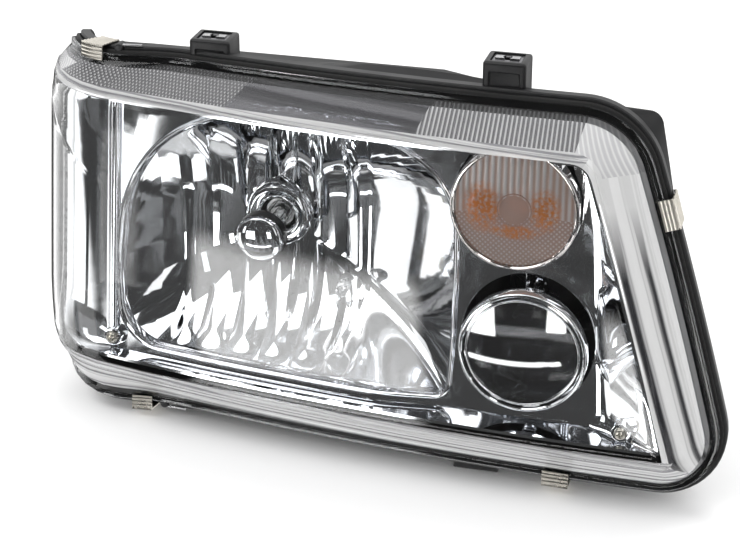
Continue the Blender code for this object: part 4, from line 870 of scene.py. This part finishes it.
def make_main_reflector():
    """A dish with upright facets in its middle and a smooth wall up to the panel's edge."""
    edge = outline(MAIN_OPENING, -0.006)
    centre = Vector((BULB.x, BULB.z))
    sides = []
    for i, point in enumerate(edge):
        here, on = Vector(point), Vector(edge[(i + 1) % len(edge)])
        along = on - here
        normal = Vector((along.y, -along.x))
        if normal.length > 1e-9:
            normal.normalize()
            sides.append((normal, normal.dot(here - centre)))

    def gauge(x, z):
        away = Vector((x, z)) - centre
        return max(normal.dot(away) / reach for normal, reach in sides)

    facet = 0.0245

    def height(x, z):
        t = min(gauge(x, z), 1.0)
        away = Vector((x, z)) - centre
        rim = centre + away / max(t, 1e-4)
        rim_y = on_surface(rim.x, rim.y, trim_depth(rim.x) - 0.016).y
        y = BULB.y + (rim_y - BULB.y) * t**2.3
        share = (x - BULB.x) / facet
        place = share - math.floor(share) - 0.5
        fade = smooth_step((0.07 - abs(x - BULB.x)) / 0.01) * smooth_step((1.0 - t) / 0.12)
        return y - 0.0024 * (1 - 4 * place * place) * fade

    def limits(x):
        found = []
        for i, point in enumerate(edge):
            on = edge[(i + 1) % len(edge)]
            if (point[0] - x) * (on[0] - x) <= 0 and abs(on[0] - point[0]) > 1e-9:
                found.append(point[1] + (on[1] - point[1]) * (x - point[0]) / (on[0] - point[0]))
        return min(found), max(found)

    left, right = min(p[0] for p in edge) + 2e-4, max(p[0] for p in edge) - 2e-4
    columns = [left + 0.0004 * i * i for i in range(9)]
    columns += [left + 0.026 + (right - left - 0.026) * i / 150 for i in range(151)]
    columns += [BULB.x + facet * k for k in range(-3, 4)]
    columns = sorted({round(x, 6) for x in columns})
    rows = 110
    mesh = bmesh.new()
    grid = []
    for x in columns:
        low, high = limits(x)
        levels = [low + (high - low) * j / rows for j in range(rows + 1)]
        grid.append([mesh.verts.new((x, height(x, z), z)) for z in levels])
    for a, b in zip(grid, grid[1:]):
        for j in range(rows):
            face = mesh.faces.new((a[j], b[j], b[j + 1], a[j + 1]))
            middle = face.calc_center_median()
            if (Vector((middle.x, middle.z)) - centre).length < 0.0195:
                mesh.faces.remove(face)
    piece("main_dish", mesh, "chrome", "main_reflector", ["main_reflector"], sharp=9)
    ring = ((0.0128, 0.09), (0.015, 0.0885), (0.0195, 0.088), (0.0222, 0.0895))
    ring += ((0.0232, 0.092), (0.0232, 0.0945), (0.0128, 0.0945))
    place = upright_place(BULB)
    piece("seat_ring", turned(rounded(ring, 0.0008), place), "chrome", "main_reflector", ["bulb_seat"])
    neck = turned(((0.02, 0.094), (0.02, 0.107), (0.024, 0.107), (0.024, 0.094)), place)
    piece("dish_neck", neck, "chrome", "main_reflector")


def make_glare_cap():
    front, radius = 0.042, 0.017
    inside = radius - 0.0008
    shell = [(0, front), *dome(radius, front, 0.0052, range(8, 80, 8))]
    shell += [(radius - 0.0006, front + 0.0042), (radius, front + 0.0052), (radius, front + 0.015)]
    shell += [(inside, front + 0.015), (inside, front + 0.0062), (0.008, front + 0.0035), (0, front + 0.0032)]
    place = upright_place(BULB)
    cap = turned(shell, place)
    z = BULB.z - radius
    arm = box((BULB.x - 0.0035, front + 0.012, z - 0.0004), (BULB.x + 0.0035, 0.0902, z + 0.001), 0.0004)
    foot = box((BULB.x - 0.0035, 0.0892, z - 0.004), (BULB.x + 0.0035, 0.0902, z + 0.0005), 0.0003)
    piece("glare_shield", merged(cap, arm, foot), "chrome", "main_reflector", ["glare_cap"])
    near, far, low, high = front + 0.0058, front + 0.0146, radius + 0.0001, radius + 0.0004
    band = turned(rounded(((low, near), (high, near), (high, far), (low, far)), 0.0001), place)
    piece("glare_shield_band", band, "lead_black", "main_reflector")


# ---- small lamps --------------------------------------------------------------------------------


def cup(front, depth, neck, neck_length):
    glass_radius, ring_radius, wall, ledge = 0.0398, 0.043, 0.002, front + 0.006
    start = glass_radius - 0.0012
    dish = [(start + (neck - start) * t, ledge + (depth - 0.006) * t**0.6) for t in [i / 24 for i in range(25)]]
    back = [(r + wall, y + wall * 0.8) for r, y in dish[:0:-1]]
    rim = ((glass_radius + 0.0003, front + 0.0006), (glass_radius + 0.0003, ledge))
    outside = ((ring_radius, ledge + 0.004), (ring_radius, front + 0.0016), (ring_radius - 0.0005, front + 0.0006))
    outside += ((ring_radius - 0.0014, front), (glass_radius + 0.001, front))
    tube = ((neck, front + depth + neck_length), (neck + wall, front + depth + neck_length))
    return (*rim, *dish, *tube, *back, *outside)


def disc(front, bulge, thick=0.003):
    edge = front + 0.0022
    face = [(0.0398 * i / 16, edge - bulge * (1 - (i / 16) ** 2)) for i in range(17)]
    return (*face, (0.0398, edge + thick), (0, edge + thick))


def dish_with_painted_glow():
    """Mirror metal with the painted amber glow of the bulb on both sides of it."""
    shader = Shader("metallised_amber_dish", (0.9, 0.91, 0.93), 0.05, 1.0)
    shader.tint((0.9, 0.87, 0.85), (0.84, 0.8, 0.78), shader.noise(60, 4))
    # Painted amber glow of the bulb on the mirror metal.
    shader.painted_glow(GLOW, (1.0, 0.36, 0.08))
    shader.bump(shader.noise(160, 3), 0.0003, 0.6)
    return shader.material


def make_indicator():
    place = upright_place(INDICATOR)
    dish = turned(cup(0.0185, 0.055, 0.013, 0.01), place)
    piece("indicator_dish", dish, "chrome", "housing", ["indicator_reflector"], [dish_with_painted_glow()])
    mesh = turned(disc(0.0185, 0.0015), place)
    uv = mesh.loops.layers.uv.new("UVMap")
    for face in mesh.faces:
        middle = face.calc_center_median() - place
        reach = math.hypot(middle.x, middle.z)
        face.material_index = 2 if reach < 0.011 else 0 if middle.z > -0.004 else 1
        for corner in face.loops:
            corner[uv].uv = (corner.vert.co.x, corner.vert.co.z)
    piece("indicator_disc", mesh, "bulb_glass", "housing", ["indicator_lens"], [SMOKE, SMOKE_DOTS, SMOKE_CLEAR])
    rim = rounded(((0.0108, 0.0196), (0.0108, 0.0189), (0.0115, 0.0189), (0.0115, 0.0198)), 0.0003)
    piece("indicator_centre_rim", turned(rim, place), "bulb_glass", materials=[SMOKE_CLEAR])
    bulb = [(0, 0.03), *dome(0.009, 0.03, 0.009, range(10, 100, 10))]
    bulb += [(0.0088, 0.043), (0.0076, 0.049), (0.0062, 0.054), (0.0062, 0.06), (0, 0.06)]
    mesh = turned(bulb, place, 64)
    piece("indicator_amber_bulb", mesh, "amber", "indicator_holder", ["indicator_bulb"], [AMBER_SOLID])


def make_fog():
    place = upright_place(FOG)
    rings = []
    for radius, reach in ((0.0461, None), (0.0461, 0.033), (0.0453, 0.034), (0.0453, None)):
        ring = []
        for i in range(128):
            x = place.x + radius * math.cos(math.pi * i / 64)
            z = place.z + radius * math.sin(math.pi * i / 64)
            ring.append(Vector((x, reach or on_surface(x, z, trim_depth(x) - 0.0004).y, z)))
        rings.append(ring)
    piece("bezel_fog_skirt", loft(rings, closed=True), "chrome")
    lug = box((FOG.x - 0.0075, 0.04, FOG.z + 0.022), (FOG.x + 0.0075, 0.05, 0.008), 0.001)
    nut = box((FOG.x - 0.007, 0.048, -0.105), (FOG.x + 0.007, 0.058, FOG.z - 0.022), 0.001)
    mesh = merged(turned(cup(-0.005, 0.062, 0.01, 0.008), place), lug, nut)
    piece("fog_dish", mesh, "chrome", "fog_lamp", ["fog_reflector"])
    face = turned(disc(-0.005, 0.0042), place, 128)
    piece("fog_disc", face, "bulb_glass", "fog_lamp", ["fog_lens"], [FOG_GLASS])
    section = ((0.0364, -0.003), (0.0368, -0.0046), (0.038, -0.0046), (0.0384, -0.0026))
    piece("fog_inner_ring", turned(rounded(section, 0.0004), place, 128), "chrome", "fog_lamp")
    front = 0.02
    shield = dome(0.0125, front, 0.008, range(0, 100, 10))
    shield += [(r - 0.0008 if r else 0.0, y + 0.0008) for r, y in shield[::-1]]
    shield[0], shield[-1] = (0, front), (0, front + 0.0008)
    low, high = (FOG.x - 0.0006, front + 0.006, FOG.z + 0.0112), (FOG.x + 0.0006, 0.049, FOG.z + 0.0122)
    legs = [spun(box(low, high, 0.0002), place, turn) for turn in (0, 180)]
    piece("fog_cap", merged(turned(shield, place), *legs), "chrome", "fog_lamp", ["fog_shield"])


# ---- back of the lamp -----------------------------------------------------------------------------


def make_cover(name, node, centre, back, radius, length):
    place = upright_place(centre, back)
    end, skirt, wall = length + 0.0035, radius + 0.0028, 0.0022
    profile = ((0, end), (radius + 0.001, end), (skirt, end - 0.0015), (skirt, 0.0015), (skirt + wall, 0.0015))
    profile += ((skirt + wall, end), (skirt, end + 0.0022), (radius * 0.8, end + 0.0022))
    profile += ((radius * 0.74, end + 0.0075), (0, end + 0.0085))
    parts = [turned(rounded(profile, 0.0009), place)]
    grip = radius * 0.55
    parts.append(box_at(place, (-grip, end + 0.005, -0.0035), (grip, end + 0.016, 0.0035), 0.0014))
    outside = skirt + wall
    for k in range(24):
        rib = box_at(place, (-0.001, 0.0035, outside - 0.0008), (0.001, end - 0.001, outside + 0.0006), 0.0004, 2)
        parts.append(spun(rib, place, 15 * k + 7.5))
    for turn in (0, 120, 240):
        lug = box_at(place, (-0.006, 0.003, radius + 0.0006), (0.006, 0.0055, skirt + 0.001), 0.0003)
        parts.append(spun(lug, place, turn))
    piece(name, merged(*parts), "housing_black", node, [node])


def make_knob(name, x, back, z, radius, screw, start):
    place = Vector((x, back, z))
    profile = ((0, start), (screw, start), (screw, 0.0003), (radius, 0.0003), (radius, 0.004))
    profile += ((radius * 0.82, 0.005), (radius * 0.82, 0.014), (0, 0.014))
    parts = [turned(rounded(profile, 0.0006), place, 64)]
    for k in range(10):
        rib = box_at(place, (-0.0006, 0.0055, radius * 0.8), (0.0006, 0.0132, radius * 0.88), 0.0003, 2)
        parts.append(spun(rib, place, 36 * k))
    if name == "vertical_adjuster":
        gear = place - Vector((0, 0.024, 0))
        teeth = [turned(rounded(((0, 0), (0.0112, 0), (0.0112, 0.006), (0, 0.006)), 0.0004), gear, 48)]
        for k in range(12):
            tooth = box_at(gear, (-0.001, 0.0005, 0.0105), (0.001, 0.0055, 0.012), 0.0004, 2)
            teeth.append(spun(tooth, gear, 30 * k))
        piece(name + "_gear", merged(*teeth), "knob_white", name)
    item = piece(name + "_knob", merged(*parts), "knob_white", name, [name])
    reach = Vector((0.001, 0.0, radius * 0.62))
    slot_at = place + Vector((0, 0.011, 0))
    low, high = slot_at - reach, slot_at + reach + Vector((0, 0.006, 0))
    carve(item, [spun(box(low, high, 0.0002, 1), place, turn) for turn in (0, 90)])


def make_rear():
    make_cover("headlamp_cover", "main_cover", BULB, DEEP_BACK, 0.052, 0.018)
    make_cover("foglamp_cover", "fog_cover", FOG, STEP_BACK, 0.034, 0.014)
    make_knob("horizontal_adjuster", BULB.x - 0.076, DEEP_BACK, 0.03, 0.01, 0.003, -0.056)
    make_knob("vertical_adjuster", BULB.x + 0.046, DEEP_BACK, ACTUATOR_Z, 0.01, 0.003, -0.026)
    make_knob("fog_adjuster", FOG.x, STEP_BACK, -0.098, 0.008, 0.0024, -0.048)
    x, z, back = BULB.x, ACTUATOR_Z, DEEP_BACK + 0.0003
    motor = box((x - 0.024, back, z - 0.02), (x + 0.024, back + 0.03, z + 0.02), 0.0025, 4)
    lid = box((x - 0.0215, back + 0.0285, z - 0.0175), (x + 0.0215, back + 0.0312, z + 0.0175), 0.001)
    socket = box((x - 0.022, back + 0.025, z - 0.032), (x - 0.002, back + 0.039, z - 0.01), 0.0012)
    ribs = []
    for k in range(3):
        near = back + 0.006 + 0.007 * k
        ribs.append(box((x - 0.0245, near, z - 0.0205), (x + 0.0245, near + 0.0012, z + 0.0205), 0.0005))
    item = piece("levelling_motor", merged(motor, lid, *ribs), "lead_black", "housing", ["levelling_actuator"])
    carve(item, [rod(Vector((x, back - 0.002, z)), 0.012, 0.004)])
    plug = piece("levelling_motor_socket", socket, "lead_black")
    carve(plug, [box((x - 0.02, back + 0.028, z - 0.036), (x - 0.004, back + 0.037, z - 0.018), 0.0004, 1)])
    flange = box((-0.044, DEEP_BACK + 0.0003, 0.052), (0.0, DEEP_BACK + 0.0035, 0.078), 0.001)
    shroud = box((-0.0395, DEEP_BACK - 0.01, 0.0565), (-0.0045, DEEP_BACK + 0.02, 0.0735), 0.0012)
    rails = []
    for x in (-0.03, -0.014):
        rails.append(box((x - 0.001, DEEP_BACK + 0.004, 0.0733), (x + 0.001, DEEP_BACK + 0.018, 0.0747), 0.0003))
    body = piece("harness_connector", merged(flange, shroud, *rails), "lead_black", "housing", ["connector_socket"])
    carve(body, [box((-0.0375, DEEP_BACK - 0.002, 0.0585), (-0.0065, DEEP_BACK + 0.03, 0.0715), 0.0005, 1)])
    pins = []
    for x in [-0.0346 + 0.006 * i for i in range(5)]:
        pins.append(box((x, DEEP_BACK - 0.004, 0.0645), (x + 0.0012, DEEP_BACK + 0.012, 0.0657), 0.0003))
    piece("connector_pins", merged(*pins), "zinc")
    vent = ((0, -0.006), (0.0048, -0.006), (0.0048, 0.0003), (0.009, 0.0003), (0.009, 0.01), (0.007, 0.0125))
    vent = rounded((*vent, (0, 0.0125)), 0.0008)
    place = Vector((-0.196, DEEP_BACK, 0.058))
    piece("vent_bonnet", turned(vent, place, 64), "seal_black", "housing", ["vent_cap"])
    holder = ((0, 0.0603), (0.0085, 0.0603), (0.0115, 0.064), (0.0115, 0.09), (0.0125, 0.09), (0.0125, 0.1013))
    holder += ((0.0185, 0.1013), (0.0185, 0.106), (0.015, 0.107), (0.015, 0.118), (0, 0.118))
    place = upright_place(INDICATOR)
    low, high = (place.x - 0.0016, 0.104, place.z + 0.012), (place.x + 0.0016, 0.117, place.z + 0.0195)
    wings = [spun(box(low, high, 0.0006), place, turn) for turn in (90, 270)]
    mesh = merged(turned(rounded(holder, 0.0006), place, 64), *wings)
    piece("indicator_bulb_holder", mesh, "carrier_grey", "indicator_holder", ["indicator_holder"])


# ---- studio ---------------------------------------------------------------------------------------


def make_studio():
    floor = bpy.data.meshes.new("floor")
    floor.from_pydata([(-6, -6, 0), (6, -6, 0), (6, 6, 0), (-6, 6, 0)], [], [(0, 1, 2, 3)])
    item = placed("floor", floor)
    item.location.z = -0.0002
    item.visible_glossy = False
    item.visible_transmission = False
    shader = Shader("floor_paper", (0.95, 0.95, 0.95), 0.65)
    shader.set("Specular IOR Level", 0.2)
    shader.bump(shader.noise(400, 2), 0.0001, 0.2)
    floor.materials.append(shader.material)

    world = bpy.data.worlds.new("studio")
    bpy.context.scene.world = world
    world.use_nodes = True
    nodes, links = world.node_tree.nodes, world.node_tree.links
    ground = nodes["Background"]
    way = nodes.new("ShaderNodeTexCoord").outputs["Generated"]

    compute = partial(math_node, world.node_tree)
    edge = partial(smooth_edge, world.node_tree)

    def along(direction):
        node = nodes.new("ShaderNodeVectorMath")
        node.operation = "DOT_PRODUCT"
        node.inputs[1].default_value = direction
        links.new(way, node.inputs[0])
        return node.outputs["Value"]

    def softbox(azimuth, elevation, width, height, level, soft=0.05):
        """A lit rectangle in a direction: azimuth 0 is the front, + turns to the lamp's right side."""
        a, e = math.radians(azimuth), math.radians(elevation)
        toward = Vector((math.sin(a) * math.cos(e), -math.cos(a) * math.cos(e), math.sin(e)))
        side = Vector((math.cos(a), math.sin(a), 0.0))
        up = side.cross(toward) * -1
        ahead = compute("MAXIMUM", along(toward), 0.001)
        lit = level
        for axis, half in ((side, width), (up, height)):
            reach = compute("ABSOLUTE", compute("DIVIDE", along(axis), ahead))
            lit = compute("MULTIPLY", edge(reach, half + soft, half), lit)
        return lit

    room = compute("MULTIPLY_ADD", edge(along(Vector((0, 1, 0))), -0.15, 0.45), 1.1, 0.055)
    shade = softbox(195, -22, 0.5, 0.4, 0.92, soft=0.2)
    room = compute("MULTIPLY", room, compute("SUBTRACT", 1.0, shade))
    paper = compute("MULTIPLY", edge(along(Vector((0, 0, -1))), 0.76, 0.82), 0.92)
    room = compute("MAXIMUM", room, paper)
    for box_row in (
        (-44, 50, 0.28, 0.24, 3.0),
        (-4, 66, 0.22, 0.16, 2.2),
        (44, 50, 0.2, 0.18, 2.6),
        (74, 20, 0.08, 0.6, 1.2),
        (100, 30, 0.25, 0.25, 0.9),
        (-62, -26, 0.13, 0.24, 1.5),
        (-90, -26, 0.24, 0.22, 1.7),
        (-122, -24, 0.18, 0.22, 1.4),
        (74, -24, 0.1, 0.16, 1.5),
        (100, -22, 0.12, 0.18, 1.3),
        (-62, 34, 0.06, 0.3, 1.1),
        (-118, 30, 0.3, 0.2, 0.9),
        (-29, -14, 0.12, 0.1, 7.0),
        (4, -10, 0.055, 0.09, 7.0),
        (-16, -31.5, 0.34, 0.008, 6.0),
        (-44, -4, 0.05, 0.12, 2.0),
        (30, 8, 0.05, 0.22, 1.3),
        (28, -43, 0.16, 0.13, 1.9),
        (54, -10, 0.045, 0.42, 1.7),
        (88, 10, 0.06, 0.5, 1.4),
        (-66, -50, 0.14, 0.12, 1.6),
    ):
        room = compute("MAXIMUM", room, softbox(*box_row, soft=0.02))
    path = nodes.new("ShaderNodeLightPath")
    scattered = compute("MINIMUM", path.outputs["Diffuse Depth"], 1.0)
    plain = compute("MAXIMUM", path.outputs["Is Camera Ray"], scattered)
    level = compute("ADD", compute("MULTIPLY", room, compute("SUBTRACT", 1.0, plain)), plain)
    links.new(level, ground.inputs["Color"])
    ground.inputs["Strength"].default_value = 1.0

    for name, place, size, power in (
        ("key", (-0.9, -0.9, 1.8), (1.2, 0.9), 13),
        ("top", (0.2, 0.7, 1.9), (1.6, 0.8), 13),
    ):
        light = bpy.data.lights.new(name, "AREA")
        light.shape, light.size, light.size_y = "RECTANGLE", *size
        light.energy = power
        lamp = placed(name, light)
        lamp.location = place
        lamp.rotation_euler = (Vector((0, 0, 0.14)) - Vector(place)).to_track_quat("-Z", "Y").to_euler()
        lamp.visible_glossy = False
        lamp.visible_transmission = False


def make_camera():
    camera = bpy.data.cameras.new("camera")
    camera.lens, camera.sensor_width = 103.6, 36.0
    item = placed("camera", camera)
    azimuth, elevation, distance = math.radians(15), math.radians(25), 1.4
    flat = math.cos(elevation)
    back = Vector((math.sin(azimuth) * flat, -math.cos(azimuth) * flat, math.sin(elevation)))
    item.location = ORIGIN + back * distance
    item.rotation_euler = (-back).to_track_quat("-Z", "Y").to_euler()
    scene = bpy.context.scene
    scene.camera = item
    scene.view_settings.view_transform = "Standard"
    scene.cycles.max_bounces, scene.cycles.transmission_bounces, scene.cycles.glossy_bounces = 18, 14, 10


dress_nodes()
make_lens()
make_seal()
make_clips()
make_housing()
make_bezel()
make_main_reflector()
make_glare_cap()
make_indicator()
make_fog()
make_rear()
make_studio()
make_camera()
